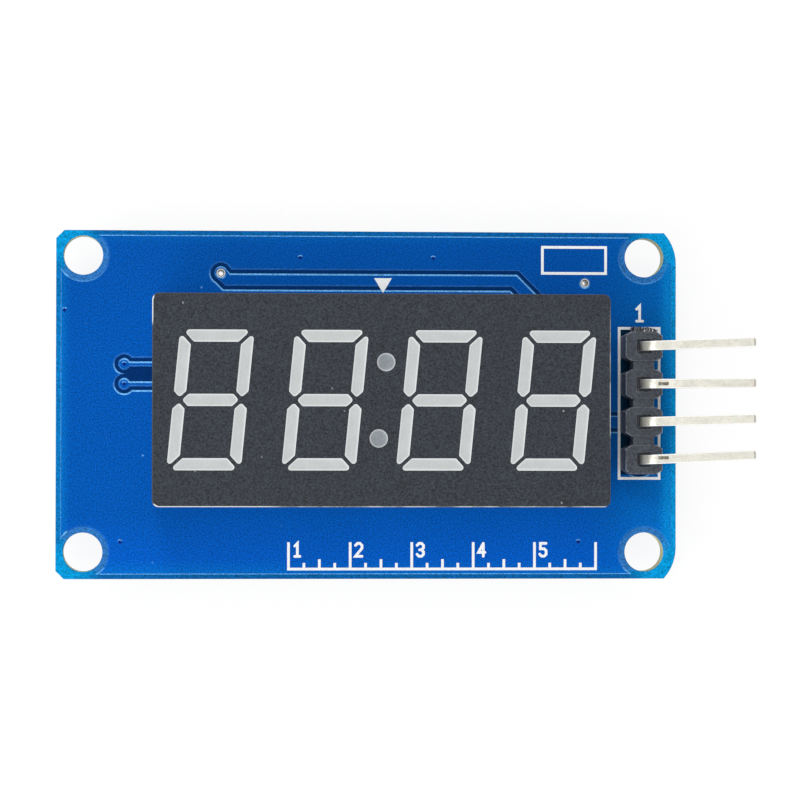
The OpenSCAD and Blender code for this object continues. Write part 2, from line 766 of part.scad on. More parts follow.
// The light emitting chips under one digit, or under the colon after the last digit.
module led_chips(i) {
  color("gold") translate([display_x, display_y, 0]) led_blocks(i);
}

module display_pin(i) {
  color("silver") translate([display_pin_places[i][0], display_pin_places[i][1], -pin_tail]) {
    cylinder(d1 = display_pin_d * 0.6, d2 = display_pin_d, h = tip_l);
    at_z(tip_l) cylinder(d = display_pin_d, h = z_carrier + pin_tail - tip_l);
  }
}

// One cell of the header's strip, and the neck that joins it to the next.
module strip_cell() {
  half = strip_w / 2;
  linear_extrude(strip_h) polygon([
    [half, cell_cut_y - cell_half], [half, cell_half - cell_cut_y],
    [half - cell_cut_x, cell_half], [cell_cut_x - half, cell_half],
    [-half, cell_half - cell_cut_y], [-half, cell_cut_y - cell_half],
    [cell_cut_x - half, -cell_half], [half - cell_cut_x, -cell_half]
  ]);
}

// The torn stub left where the strip was snapped off a longer one.
module torn_stub() {
  half = strip_w / 2 - neck_cut;
  at_z(neck_lift) linear_extrude(strip_h - neck_drop - neck_lift) polygon([
    [-half, 0], [-0.92 * half, 0.36], [-0.6 * half, 0.3], [-0.45 * half, 0.2], [-0.1 * half, 0.24],
    [0.2 * half, 0.12], [0.55 * half, 0.22], [0.8 * half, 0.1], [half, 0]
  ]);
}

module header_strip() {
  color([0.16, 0.16, 0.18]) difference() {
    translate([header_x, header_y, board_t]) {
      for (i = [0 : HEADER_PINS - 1]) translate([0, header_pin_y(i) - header_y, 0]) strip_cell();
      for (i = [0 : HEADER_PINS - 2])
        translate([0, header_pin_y(i) - header_y - header_pitch / 2, (strip_h - neck_drop + neck_lift) / 2])
          cube([strip_w - 2 * neck_cut, neck_l, strip_h - neck_drop - neck_lift], center = true);
      translate([0, header_pin_y(0) - header_y + cell_half, 0]) torn_stub();
    }
    for (i = [0 : HEADER_PINS - 1])
      translate([header_x, header_pin_y(i), board_t + strip_h - recess_d]) rotate(header_turns[i]) {
        translate([0, 0, recess_d]) cube([recess_w, recess_w, 2 * recess_d], center = true);
        cube([header_pin_w, header_pin_w, 4 * strip_h], center = true);
      }
  }
}

// A square bar that starts at the origin and runs along +Z to a tapered tip.
module tapered_bar(l) {
  w = header_pin_w / 2;
  side = [[-w, 0], [w, 0], [w, l - tip_l], [0.6 * w, l], [-0.6 * w, l], [-w, l - tip_l]];
  intersection() {
    rotate([90, 0, 0]) linear_extrude(2 * header_pin_w, center = true) polygon(side);
    rotate([90, 0, 90]) linear_extrude(2 * header_pin_w, center = true) polygon(side);
  }
}

module header_pin(i) {
  color("silver") translate([header_x, header_pin_y(i), 0]) rotate(header_turns[i]) {
    at_z(z_bend) mirror([0, 0, 1]) tapered_bar(z_bend + pin_tail);
    translate([bend_mid_r, 0, z_bend]) rotate([90, 0, 0]) rotate(90) rotate_extrude(angle = 90)
      translate([bend_mid_r, 0]) square(header_pin_w, center = true);
    translate([bend_mid_r, 0, z_arm]) rotate([0, 90, 0])
      tapered_bar(header_inset + header_reach - bend_mid_r);
  }
}

// The driver chip's body narrows to both faces from the plane of its leads.
module draft_block(l, w, h) {
  module profile(side) {
    polygon([
      [-side, 0], [driver_draft - side, h / 2], [side - driver_draft, h / 2],
      [side, 0], [side - driver_draft, -h / 2], [driver_draft - side, -h / 2]
    ]);
  }
  intersection() {
    rotate([90, 0, 0]) linear_extrude(2 * w, center = true) profile(l / 2);
    rotate([90, 0, 90]) linear_extrude(2 * l, center = true) profile(w / 2);
  }
}

module driver_chip_body() {
  color([0.13, 0.13, 0.14]) translate([driver_x, 0, z_driver_mid]) difference() {
    draft_block(driver_w, driver_l, driver_h);
    for (side = [-1, 1], i = [0 : LEADS_IN_ROW - 1])
      translate([side * driver_w / 2, lead_y(i), 0]) cube([2 * lead_root, lead_w, lead_t], center = true);
    translate([1.2 - driver_w / 2, driver_l / 2 - 1.2, -driver_h / 2 - PAST]) cylinder(r = 0.5, h = PAST + 0.08);
  }
}

// A lead's side view, from inside the body out and down to its foot on the board.
module driver_lead() {
  foot_z = -lead_t / 2;
  knee = lead_span / 2 - foot_l;
  path = [
    [driver_w / 2 - lead_root, z_driver_mid], [driver_w / 2 + 0.28, z_driver_mid],
    [knee, foot_z], [lead_span / 2, foot_z]
  ];
  rotate([90, 0, 0]) linear_extrude(lead_w, center = true) polygon(band(rounded_path(path, lead_t * 0.7), lead_t));
}

module driver_chip_leads() {
  color("gainsboro") for (side = [0, 1], i = [0 : LEADS_IN_ROW - 1])
    translate([driver_x, lead_y(i), 0]) mirror([side, 0, 0]) driver_lead();
}

module chip_core(h) {
  at_z(-h / 2) cube([chip_l - 2 * chip_end_t, chip_w - 2 * chip_end_t, h - 2 * chip_end_t], center = true);
}

// Two metal caps that wrap the ends of a chip part.
module chip_ends(h) {
  difference() {
    for (side = [-1, 1]) translate([side * (chip_l - chip_end) / 2, 0, -h / 2])
      cube([chip_end, chip_w, h], center = true);
    chip_core(h);
  }
}

module capacitor_bodies() {
  color([0.72, 0.6, 0.45]) at_places(capacitor_places) chip_core(capacitor_h);
}

module capacitor_ends() {
  color("gainsboro") at_places(capacitor_places) chip_ends(capacitor_h);
}

module resistor_bodies() {
  color("ivory") at_places(resistor_places) chip_core(resistor_h);
}

// The dark glaze over a resistor's element, between its two ends.
module resistor_coats() {
  color([0.1, 0.1, 0.11]) at_places(resistor_places) at_z(-resistor_h + chip_end_t / 2)
    cube([chip_l - 2 * chip_end, chip_w - 2 * chip_end_t, chip_end_t], center = true);
}

module resistor_ends() {
  color("gainsboro") at_places(resistor_places) chip_ends(resistor_h);
}

// Solder in a plated hole with its cone behind the board, around a pin's circle of radius r.
module solder_joint(r, hole_r, pad_r) {
  foot = pad_r - 0.06;
  rotate_extrude() polygon(concat(
    [[r, board_t], [hole_r, board_t], [hole_r, 0]],
    [for (k = [0 : 6]) [pin_edge(r) + (foot - pin_edge(r)) * pow(1 - k / 6, 2.2), -solder_h * k / 6]],
    [[r, -solder_h]]
  ));
}
// A square pin's joint is cut from a solid one, so its cone ends a little outside the corners.
function pin_edge(r) = r > 0 ? r + 0.03 : header_pin_w * sqrt(2) / 2 + 0.03;

module display_pin_solder() {
  color("lightgray") at_places(display_pin_places)
    solder_joint(display_pin_d / 2, display_hole_r, display_pad_r);
}

module header_pin_solder() {
  color("lightgray") for (i = [0 : HEADER_PINS - 1])
    translate([header_x, header_pin_y(i), 0]) difference() {
      solder_joint(0, header_hole_r, header_pad_r);
      rotate(header_turns[i]) cube([header_pin_w, header_pin_w, 4 * board_t + 4 * pin_tail], center = true);
    }
}

// A wedge of solder from a face of height h down to its pad, running out along +X.
module solder_wedge(h, run, w) {
  rotate([90, 0, 0]) linear_extrude(w, center = true)
    polygon([[0, 0], [run, 0], [0.45 * run, -0.3 * h], [0.12 * run, -0.7 * h], [0, -h]]);
}

module driver_chip_solder() {
  toe = lead_span / 2;
  color("lightgray") for (side = [0, 1], i = [0 : LEADS_IN_ROW - 1])
    translate([driver_x, lead_y(i), 0]) mirror([side, 0, 0])
      translate([toe, 0, 0]) solder_wedge(lead_t, lead_pad_x + pad_l / 2 - toe, lead_w);
}

module chip_part_solder() {
  run = (chip_pad_l / 2) * 0.9;
  color("lightgray") for (side = [0, 1]) {
    at_places(capacitor_places) mirror([side, 0, 0])
      translate([chip_l / 2, 0, 0]) solder_wedge(capacitor_h * 0.6, run, chip_w);
    at_places(resistor_places) mirror([side, 0, 0])
      translate([chip_l / 2, 0, 0]) solder_wedge(resistor_h * 0.7, run, chip_w);
  }
}

circuit_board();
front_copper();
back_copper();
hole_plating();
via_plating();
surface_pads();
front_legend();
back_legend();
display_housing();
display_face_coat();
display_resin();
led_carrier_board();
led_chips(0);  // led_chips_digit_1
led_chips(1);  // led_chips_digit_2
led_chips(2);  // led_chips_digit_3
led_chips(3);  // led_chips_digit_4
led_chips(4);  // led_chips_colon
display_pin(0);  // display_pin_01
display_pin(1);  // display_pin_02
display_pin(2);  // display_pin_03
display_pin(3);  // display_pin_04
display_pin(4);  // display_pin_05
display_pin(5);  // display_pin_06
display_pin(6);  // display_pin_07
display_pin(7);  // display_pin_08
display_pin(8);  // display_pin_09
display_pin(9);  // display_pin_10
display_pin(10);  // display_pin_11
display_pin(11);  // display_pin_12
header_strip();
header_pin(0);  // header_pin_1
header_pin(1);  // header_pin_2
header_pin(2);  // header_pin_3
header_pin(3);  // header_pin_4
driver_chip_body();
driver_chip_leads();
capacitor_bodies();
capacitor_ends();
resistor_bodies();
resistor_coats();
resistor_ends();
display_pin_solder();
header_pin_solder();
driver_chip_solder();
chip_part_solder();
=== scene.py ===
"""Looks of the four-digit seven segment display module, built around its packed model.

One operator dresses each piece or group of like pieces, and one sets the stage.
All sizes are in metres and all materials read Object coordinates.
"""

import math

import bmesh
import bpy
from mathutils import Euler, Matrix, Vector, noise


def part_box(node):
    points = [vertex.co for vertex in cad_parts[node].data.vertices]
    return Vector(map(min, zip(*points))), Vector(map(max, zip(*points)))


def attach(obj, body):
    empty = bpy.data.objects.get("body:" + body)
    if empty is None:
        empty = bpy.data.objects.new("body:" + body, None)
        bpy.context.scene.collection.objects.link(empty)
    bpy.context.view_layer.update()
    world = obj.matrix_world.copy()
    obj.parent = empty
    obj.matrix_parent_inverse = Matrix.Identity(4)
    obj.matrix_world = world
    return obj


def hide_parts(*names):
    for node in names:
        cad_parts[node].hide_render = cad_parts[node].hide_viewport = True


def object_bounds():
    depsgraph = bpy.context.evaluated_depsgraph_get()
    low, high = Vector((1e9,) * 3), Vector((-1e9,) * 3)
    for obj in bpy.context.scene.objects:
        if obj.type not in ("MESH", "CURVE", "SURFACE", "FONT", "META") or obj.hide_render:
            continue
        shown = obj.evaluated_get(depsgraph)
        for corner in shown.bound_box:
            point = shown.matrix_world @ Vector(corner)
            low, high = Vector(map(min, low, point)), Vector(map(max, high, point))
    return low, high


bl_info = {
    "name": "Seven segment display module",
    "version": (1, 0, 0),
    "blender": (4, 5, 0),
    "location": "View3D > Sidebar > Display module",
    "description": "Dresses the pieces of a four-digit display module and sets its stage",
    "category": "Object",
}

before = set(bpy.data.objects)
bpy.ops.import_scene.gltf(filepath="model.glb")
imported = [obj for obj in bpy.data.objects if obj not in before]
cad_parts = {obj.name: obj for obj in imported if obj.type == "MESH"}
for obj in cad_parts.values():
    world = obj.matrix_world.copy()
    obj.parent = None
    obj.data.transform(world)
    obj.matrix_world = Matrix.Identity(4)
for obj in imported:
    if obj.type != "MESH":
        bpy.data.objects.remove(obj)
CAD_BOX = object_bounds()
MM = 0.001

# Distances below which vertices count as one, a face as collapsed, and a vertex as level.
SAME_PLACE, COLLAPSED, LEVEL = 2e-7, 5e-7, 1e-6

BOARD_LOW, BOARD_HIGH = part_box("circuit_board")
DISPLAY_LOW, DISPLAY_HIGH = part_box("display_housing")
STRIP_LOW, STRIP_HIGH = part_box("header_strip")
STRIP_X = (STRIP_LOW.x + STRIP_HIGH.x) / 2
DRIVER_LOW, DRIVER_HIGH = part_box("driver_chip_body")
BOARD_BACK, BOARD_FRONT = 0.0, 1.6 * MM
HOLE_X, HOLE_Y, RING_R = 19.0 * MM, 10.0 * MM, 1.705 * MM
DOT_PLACES = [Vector((0.51, -2.32)) * MM, Vector((0.99, 2.68)) * MM]
DOT_REACH, DOT_DEPTH = 0.75 * MM, 1.5 * MM
VIA_PLACES = [
    Vector(place) * MM
    for place in (
        (-16.24, 2.67), (-16.24, 1.33), (-20.25, 6.3), (-4.4, 9.89), (4.6, 9.89), (-16.5, -9.31),
        (14.5, -9.31),
    )
]
# Radius and height in millimetres of the mask's low ring over a closed via, from its axis round to
# its axis again, sunk a little into the copper.
VIA_PROFILE = (
    (0, 0.004), (0.05, 0.005), (0.085, 0.013), (0.12, 0.015), (0.16, 0.009), (0.2, -0.004), (0, -0.02),
)
VIA_DIMPLE_R, VIA_R, VIA_SUNK = 0.12 * MM, 0.2 * MM, 0.02 * MM
OPEN_VIAS = [Vector((14.94, 8.27)) * MM, Vector((-9.75, 8.83)) * MM]
DISPLAY_PINS = [f"display_pin_{i:02d}" for i in range(1, 13)]
LIGHT_CHIPS = [f"led_chips_digit_{i}" for i in range(1, 5)] + ["led_chips_colon"]
HEADER_PINS = [f"header_pin_{i}" for i in range(1, 5)]
MARKED_PINS = ("header_pin_4", "header_pin_2")
PIN_TIP = 0.17 * MM
MASK_TINT = (0.04, 0.45, 1.0)
# Radians for each metre, which sets the carrier board's threads 0.7 mm apart.
WEAVE = 9000


def screen(red, green, blue):
    """A colour as it shows on a screen, from 0 to 255, as the linear values that shaders take."""
    shares = [c / 255 for c in (red, green, blue)]
    return tuple(c / 12.92 if c <= 0.04045 else ((c + 0.055) / 1.055) ** 2.4 for c in shares)


def colour(name, description, *rgb):
    return bpy.props.FloatVectorProperty(
        name=name, description=description, subtype="COLOR", size=3, min=0, max=1, default=screen(*rgb)
    )


def length(name, description, millimetres):
    return bpy.props.FloatProperty(
        name=name, description=description, unit="LENGTH", min=0, precision=6, default=millimetres * MM
    )


class BoardLooks(bpy.types.PropertyGroup):
    """Colours and relief of the board, its mask and its print."""

    pour: colour("Mask over copper", "Blue of the mask where copper lies under it", 2, 76, 165)
    # Over copper this lighter blue is painted light, brightest at the board's edges.
    pour_edge: colour("Mask near the edge", "Lighter blue towards the board's edges", 6, 126, 202)
    gap: colour("Mask in the gaps", "Dark blue of the mask between copper areas", 1, 26, 86)
    rim: colour("Mask at the rim", "Blue of the strip along the board's edge", 8, 109, 176)
    corner: colour("Mask at the corners", "Cyan of the bare corners behind the mounting holes", 6, 145, 206)
    ring: colour("Mask around the holes", "Greyish blue of the copper-free rings", 46, 108, 176)
    # This light blue is partly the thin mask over copper edges and partly a painted highlight.
    slope: colour("Mask on copper edges", "Light blue of the thin mask over a copper edge", 112, 180, 236)
    plug: colour("Closed vias", "Purplish blue of the mask in a closed via", 10, 16, 108)
    laminate: colour("Laminate", "Glass and resin seen at the board's cut edges", 208, 210, 170)
    ink: colour("Print", "White ink of the legend", 254, 255, 255)
    tin: colour("Tinned copper", "Metal of the pads and plated holes", 206, 205, 198)
    slope_run: length("Slope width", "Width of the mask's slope over a copper edge", 0.11)
    slope_drop: length("Slope height", "How far that slope drops", 0.028)
    edge_round: length("Board edge", "Rounding of the board's cut edges", 0.05)


class DisplayLooks(bpy.types.PropertyGroup):
    """Colours and relief of the display."""

    housing: colour("Housing", "White moulded housing", 226, 227, 225)
    coat: colour("Black coat", "Matte coat on the face", 43, 47, 54)
    segment: colour("Segment resin", "Milky resin in the segments", 193, 196, 196)
    segment_rim: colour("Segment rim", "Lighter resin along a segment's outline", 227, 230, 230)
    dot: colour("Dot resin", "Greyer resin in the colon's dots", 134, 141, 146)
    carrier: colour("Carrier board", "Laminate inside the display", 214, 206, 176)
    chip: colour("Light chip", "Yellow crystal of a light emitting chip", 216, 176, 74)
    face_round: length("Face edge", "Rounding of the face's outline", 0.07)
    hollow_run: length("Resin slope", "Width of the slope along a segment's outline", 0.11)
    hollow_depth: length("Resin hollow", "How far a segment's middle is sunk", 0.025)


class PartLooks(bpy.types.PropertyGroup):
    """Colours and relief of the header, the driver chip, the chip parts and the solder."""

    strip: colour("Strip", "Black plastic of the header's strip", 57, 63, 74)
    # The strip's rubbed edges are painted pale, partly as wear and partly as a painted highlight.
    strip_wear_and_highlight: colour("Worn strip edge", "Grey of the strip's rubbed edges", 150, 156, 166)
    pin: colour("Header pin", "Warm tinned metal of the header's pins", 226, 225, 215)
    pin_shade: colour("Pin tarnish", "Darker metal in a pin's marks", 98, 94, 78)
    display_pin: colour("Display pin", "Tinned metal of the display's pins and chip leads", 208, 206, 200)
    epoxy: colour("Chip body", "Moulded epoxy of the driver chip", 40, 40, 42)
    brown: colour("Capacitor", "Brown ceramic of a chip capacitor", 158, 124, 84)
    white: colour("Resistor", "White ceramic of a chip resistor", 226, 224, 214)
    glaze: colour("Resistor glaze", "Dark glaze on a chip resistor", 26, 27, 32)
    solder: colour("Solder", "Bright solder", 214, 216, 219)
    strip_round: length("Strip edge", "Rounding of the strip's edges", 0.05)
    pin_round: length("Pin edge", "Rounding of a header pin's edges", 0.055)
    lead_round: length("Lead edge", "Rounding of the leads and the solder on flat pads", 0.03)
    end_round: length("Chip end edge", "Rounding of the chip parts' metal ends", 0.048)
    ceramic_round: length("Ceramic edge", "Rounding of the chip parts' bodies", 0.012)
    body_round: length("Chip body edge", "Rounding of the driver chip's body", 0.07)


class StageSettings(bpy.types.PropertyGroup):
    """Floor, lamps and camera."""

    floor: colour("Floor", "Pale floor and backdrop", 246, 246, 246)
    floor_drop: length("Floor drop", "Gap between the floor and the module's lowest point", 0.02)
    sky: bpy.props.FloatProperty(
        name="Sky", description="Strength of the even light from all sides", default=0.6, min=0
    )
    key: bpy.props.FloatProperty(
        name="Key lamp", description="Power of the lamp behind the module's upper edge",
        unit="POWER", default=0.36, min=0,
    )
    fill: bpy.props.FloatProperty(
        name="Fill lamp", description="Power of the wide lamp on the near side",
        unit="POWER", default=1.25, min=0,
    )
    camera_place: bpy.props.FloatVectorProperty(
        name="Camera place", description="Where the camera stands", subtype="TRANSLATION", unit="LENGTH",
        default=(-0.01228, -0.00245, 0.22575),
    )
    camera_turn: bpy.props.FloatVectorProperty(
        name="Camera turn", description="How the camera is turned", subtype="EULER", unit="ROTATION",
        default=(math.radians(0.693), math.radians(-3.74), math.radians(0.087)),
    )
    lens: bpy.props.FloatProperty(
        name="Lens", description="Focal length for a 36 mm wide sensor", unit="CAMERA", default=149.37, min=1
    )


def add_node(tree, kind, inputs=None, **settings):
    """Adds a node with these settings. Each input is given a value, or a socket to read from."""
    node = tree.nodes.new(kind)
    for key, value in settings.items():
        setattr(node, key, value)
    for key, value in (inputs or {}).items():
        if isinstance(value, bpy.types.NodeSocket):
            tree.links.new(value, node.inputs[key])
        else:
            node.inputs[key].default_value = value
    return node


class Finish:
    """One material's node graph, from Object coordinates to a Principled shader."""

    def __init__(self, name, roughness=0.5, metallic=0.0, specular=0.5, tint=None):
        self.material = bpy.data.materials.new(name)
        self.material.use_nodes = True
        self.tree = self.material.node_tree
        self.sockets = self.tree.nodes["Principled BSDF"].inputs
        self.sockets["Roughness"].default_value = roughness
        self.sockets["Metallic"].default_value = metallic
        self.sockets["Specular IOR Level"].default_value = specular
        if tint:
            self.sockets["Specular Tint"].default_value = (*tint, 1)
        self.place = self.add("ShaderNodeTexCoord").outputs["Object"]

    def add(self, kind, inputs=None, **settings):
        return add_node(self.tree, kind, inputs, **settings)

    def mirrored(self):
        """Object coordinates without their signs, so that all four corners look alike."""
        return self.add("ShaderNodeVectorMath", {0: self.place}, operation="ABSOLUTE").outputs[0]

    def stretched(self, x, y, z, turn=0.0):
        """Object coordinates, stretched for a pattern that runs one way."""
        return self.add(
            "ShaderNodeMapping", {"Vector": self.place, "Scale": (x, y, z), "Rotation": (0, 0, turn)}
        ).outputs["Vector"]

    def speckle(self, millimetres, detail=2.0, place=None, rough=0.5):
        """Noise whose grains are about this wide."""
        return self.add(
            "ShaderNodeTexNoise",
            {
                "Vector": place or self.place, "Scale": 1 / (millimetres * MM),
                "Detail": detail, "Roughness": rough,
            },
        ).outputs["Fac"]

    def cells(self, millimetres):
        """Distance to the nearest of scattered points, which lie about this far apart."""
        return self.add(
            "ShaderNodeTexVoronoi", {"Vector": self.place, "Scale": 1 / (millimetres * MM)}
        ).outputs["Distance"]

    def ramp(self, value, base, low, high, *ends):
        """spread, from low to high millimetres past base."""
        return self.spread(value, base + low * MM, base + high * MM, *ends)

    def spread(self, value, low, high, out_low=0.0, out_high=1.0, smooth=False):
        """value between low and high, brought to between out_low and out_high."""
        return self.add(
            "ShaderNodeMapRange",
            {"Value": value, "From Min": low, "From Max": high, "To Min": out_low, "To Max": out_high},
            interpolation_type="SMOOTHSTEP" if smooth else "LINEAR",
        ).outputs["Result"]

    def math(self, operation, *values):
        return self.add("ShaderNodeMath", dict(enumerate(values)), operation=operation).outputs[0]

    def times(self, a, b):
        return self.math("MULTIPLY", a, b)

    def gap(self, a, b):
        """How far apart two numbers are."""
        return self.math("ABSOLUTE", self.math("SUBTRACT", a, b))

    def largest(self, first, *others):
        for value in others:
            first = self.math("MAXIMUM", first, value)
        return first

    def axes(self, place=None):
        split = self.add("ShaderNodeSeparateXYZ", {"Vector": place or self.place})
        return split.outputs["X"], split.outputs["Y"], split.outputs["Z"]

    def near(self, centre, inner, outer, scale=(1, 1, 0), place=None):
        """1 within inner of centre, fading to 0 at outer. scale makes it an ellipse."""
        moved = self.add("ShaderNodeVectorMath", {0: place or self.place, 1: centre}, operation="SUBTRACT")
        shaped = self.add("ShaderNodeVectorMath", {0: moved.outputs[0], 1: scale}, operation="MULTIPLY")
        far = self.add("ShaderNodeVectorMath", {0: shaped.outputs[0]}, operation="LENGTH")
        return self.spread(far.outputs["Value"], inner, outer, 1, 0, True)

    def mix(self, share, a, b, blend="MIX"):
        a, b = (tone if isinstance(tone, bpy.types.NodeSocket) else (*tone, 1) for tone in (a, b))
        inputs = {0: share, 6: a, 7: b}
        return self.add("ShaderNodeMix", inputs, data_type="RGBA", blend_type=blend).outputs[2]

    def shade(self, tone, value, low, high):
        """tone made darker or lighter where value runs from 0.25 to 0.75."""
        grey = self.spread(value, 0.25, 0.75, low, high)
        greys = self.add("ShaderNodeCombineXYZ", {0: grey, 1: grey, 2: grey}).outputs[0]
        return self.mix(1.0, tone, greys, "MULTIPLY")

    def attribute(self, name):
        return self.add("ShaderNodeAttribute", attribute_name=name, attribute_type="GEOMETRY").outputs["Fac"]

    def finished(self, tone, gloss, *reliefs):
        """The material with this colour, gloss as spread takes it, and reliefs from the lowest up.

        Each relief has a pattern, how many millimetres high it is where the pattern is 1, and a strength.
        """
        self.tree.links.new(tone, self.sockets["Base Color"])
        if gloss:
            self.tree.links.new(self.spread(*gloss), self.sockets["Roughness"])
        under = {}
        for height, millimetres, strength in reliefs:
            inputs = {"Height": height, "Distance": millimetres * MM, "Strength": strength, **under}
            under = {"Normal": self.add("ShaderNodeBump", inputs).outputs["Normal"]}
        self.tree.links.new(under["Normal"], self.sockets["Normal"])
        return self.material


def with_mask_grain(finish, tone):
    """The material, with the mask's fine orange peel and slow clouds in colour, gloss and relief."""
    clouds = finish.speckle(9, 1)
    grain = finish.speckle(0.1, 1)
    peel = finish.speckle(0.5, 2)
    tone = finish.shade(finish.shade(tone, clouds, 0.95, 1.05), grain, 0.5, 1.55)
    gloss = (finish.math("ADD", grain, peel), 0.6, 1.4, 0.3, 0.44)
    return finish.finished(tone, gloss, (peel, 0.012, 0.5), (grain, 0.004, 0.6))


def edge_gaps(finish):
    """How far a point of the board lies from its nearest long edge, its left edge and its right edge."""
    x, y, _ = finish.axes()
    from_middle = finish.gap(y, (BOARD_LOW.y + BOARD_HIGH.y) / 2)
    return (
        finish.math("SUBTRACT", (BOARD_HIGH.y - BOARD_LOW.y) / 2, from_middle),
        finish.math("SUBTRACT", x, BOARD_LOW.x),
        finish.math("SUBTRACT", BOARD_HIGH.x, x),
    )


def mask_over_copper(looks):
    """Blue mask on copper, with painted light towards the board's edges and below the display, painted shade
    in its upper part and beside the header's strip, and pale copper edges, partly thin mask and partly a
    painted highlight.
    """
    finish = Finish("masked_copper", 0.36, tint=MASK_TINT)
    _, from_left, from_right = edge_gaps(finish)
    _, y, _ = finish.axes()
    # Painted light: right, left, low and top make the mask lighter towards the board's edges.
    right = finish.math(
        "ADD",
        finish.ramp(from_right, 0, 0, 7, 0.36, 0, True),
        finish.ramp(from_right, 0, 0.4, 1.4, 0.75, 0, True),
    )
    left = finish.ramp(from_left, 0, 0, 1.1, 0.55, 0, True)
    low = finish.ramp(y, BOARD_LOW.y, 0, 1.5, 0.4, 0, True)
    top = finish.ramp(y, BOARD_HIGH.y, -1.1, -0.2, 0, 0.2, True)
    # Painted light and shade: the mask turns lighter from 0.5 mm to 3.6 mm below the display, which leaves a
    # painted soft shadow at its foot.
    below = finish.ramp(y, DISPLAY_LOW.y, -3.6, -0.5, 0.6, 0)
    # Painted shade: the mask darkens steadily from 2 mm above the middle up to the upper edge.
    above = finish.spread(y, 2 * MM, BOARD_HIGH.y, 0, 0.24, True)
    dust = finish.spread(finish.cells(2.1), 0.02, 0.045, 0.6, 0)
    tone = finish.mix(below, looks.pour, screen(4, 88, 200))
    tone = finish.mix(finish.largest(right, left, low, top), tone, looks.pour_edge)
    tone = finish.mix(above, tone, screen(4, 66, 148))
    tone = finish.mix(dust, tone, screen(120, 186, 244))
    tone = finish.mix(finish.attribute("plug"), tone, looks.plug)
    # The thin attribute paints slopes pale, partly as thin mask and partly as a painted highlight on slopes
    # facing the upper edge.
    tone = finish.mix(finish.attribute("thin"), tone, looks.slope)
    # Painted shade: the mask beside the header's strip is made near black.
    return with_mask_grain(finish, finish.mix(painted_shade_beside_strip(finish), tone, screen(1, 8, 24)))


def painted_shade_beside_strip(finish):
    """1 on the stretch of mask between the header's strip and the left line of its printed box, where
    painted shade makes it near black.
    """
    x, y, _ = finish.axes()
    within_x = finish.times(
        finish.ramp(x, STRIP_LOW.x, -0.14, -0.1), finish.ramp(x, STRIP_LOW.x, 0.9, 1.1, 1, 0)
    )
    within_y = finish.times(
        finish.ramp(y, STRIP_LOW.y, -0.1, 0), finish.ramp(y, STRIP_HIGH.y, 0, 0.1, 1, 0)
    )
    return finish.times(within_x, within_y)


def mask_over_laminate(looks):
    """Mask with no copper under it: dark in the gaps, cyan at the rim and the corners."""
    finish = Finish("masked_laminate", 0.34, tint=MASK_TINT)
    from_long, from_left, from_right = edge_gaps(finish)
    nearest = finish.math("MINIMUM", from_long, finish.math("MINIMUM", from_left, from_right))
    x, y, _ = finish.axes(finish.mirrored())
    beyond_hole = finish.times(
        finish.ramp(x, HOLE_X, -1.4, 0.6, 0, 1, True), finish.ramp(y, HOLE_Y, -1.4, 0.6, 0, 1, True)
    )
    ring = finish.near(
        (HOLE_X, HOLE_Y, 0), RING_R + 0.05 * MM, RING_R + 0.1 * MM, place=finish.mirrored()
    )
    tone = finish.mix(ring, looks.gap, looks.ring)
    right_end = finish.mix(finish.ramp(from_right, 0, 0.1, 0.56, 1, 0), looks.pour_edge, looks.corner)
    rim = finish.mix(finish.ramp(from_right, 0, 0.56, 0.7, 1, 0), looks.rim, right_end)
    rim = finish.mix(finish.ramp(from_long, 0, 0.3, 0.36, 0.8, 0), rim, screen(8, 84, 150))
    tone = finish.mix(finish.ramp(nearest, 0, 0.5, 0.56, 1, 0), tone, rim)
    return with_mask_grain(finish, finish.mix(beyond_hole, tone, looks.corner))


def cut_laminate(looks):
    """The board's routed side: glass layers in resin, with the mask's blue at both lips."""
    finish = Finish("cut_laminate", 0.7)
    _, _, z = finish.axes()
    layers = finish.spread(finish.math("PINGPONG", z, 0.1 * MM), 0, 0.1 * MM)
    threads = finish.speckle(0.16, 3, finish.stretched(1, 1, 3.5))
    burrs = finish.speckle(0.06, 2)
    tone = finish.shade(looks.laminate, threads, 0.72, 1.15)
    tone = finish.mix(finish.times(layers, 0.35), tone, screen(150, 158, 116))
    lip = finish.ramp(finish.gap(z, BOARD_FRONT / 2), 0, 0.66, 0.78, 0, 0.85, True)
    rough = (finish.math("ADD", layers, threads), 0.006, 0.4)
    return finish.finished(finish.mix(lip, tone, looks.rim), None, rough, (burrs, 0.02, 0.6))


def white_print(looks):
    """Screen-printed ink: dense in the middle, a little grainy, with pin holes."""
    finish = Finish("white_print", 0.6)
    grain = finish.speckle(0.07, 2)
    patches = finish.speckle(0.6, 2)
    holes = finish.spread(finish.speckle(0.1, 1, rough=0.3), 0.27, 0.33, 0.4, 0)
    tone = finish.shade(finish.shade(looks.ink, patches, 0.98, 1.02), grain, 0.97, 1.02)
    tone = finish.mix(holes, tone, screen(120, 170, 220))
    return finish.finished(tone, (patches, 0.3, 0.7, 0.5, 0.72), (grain, 0.01, 0.7))


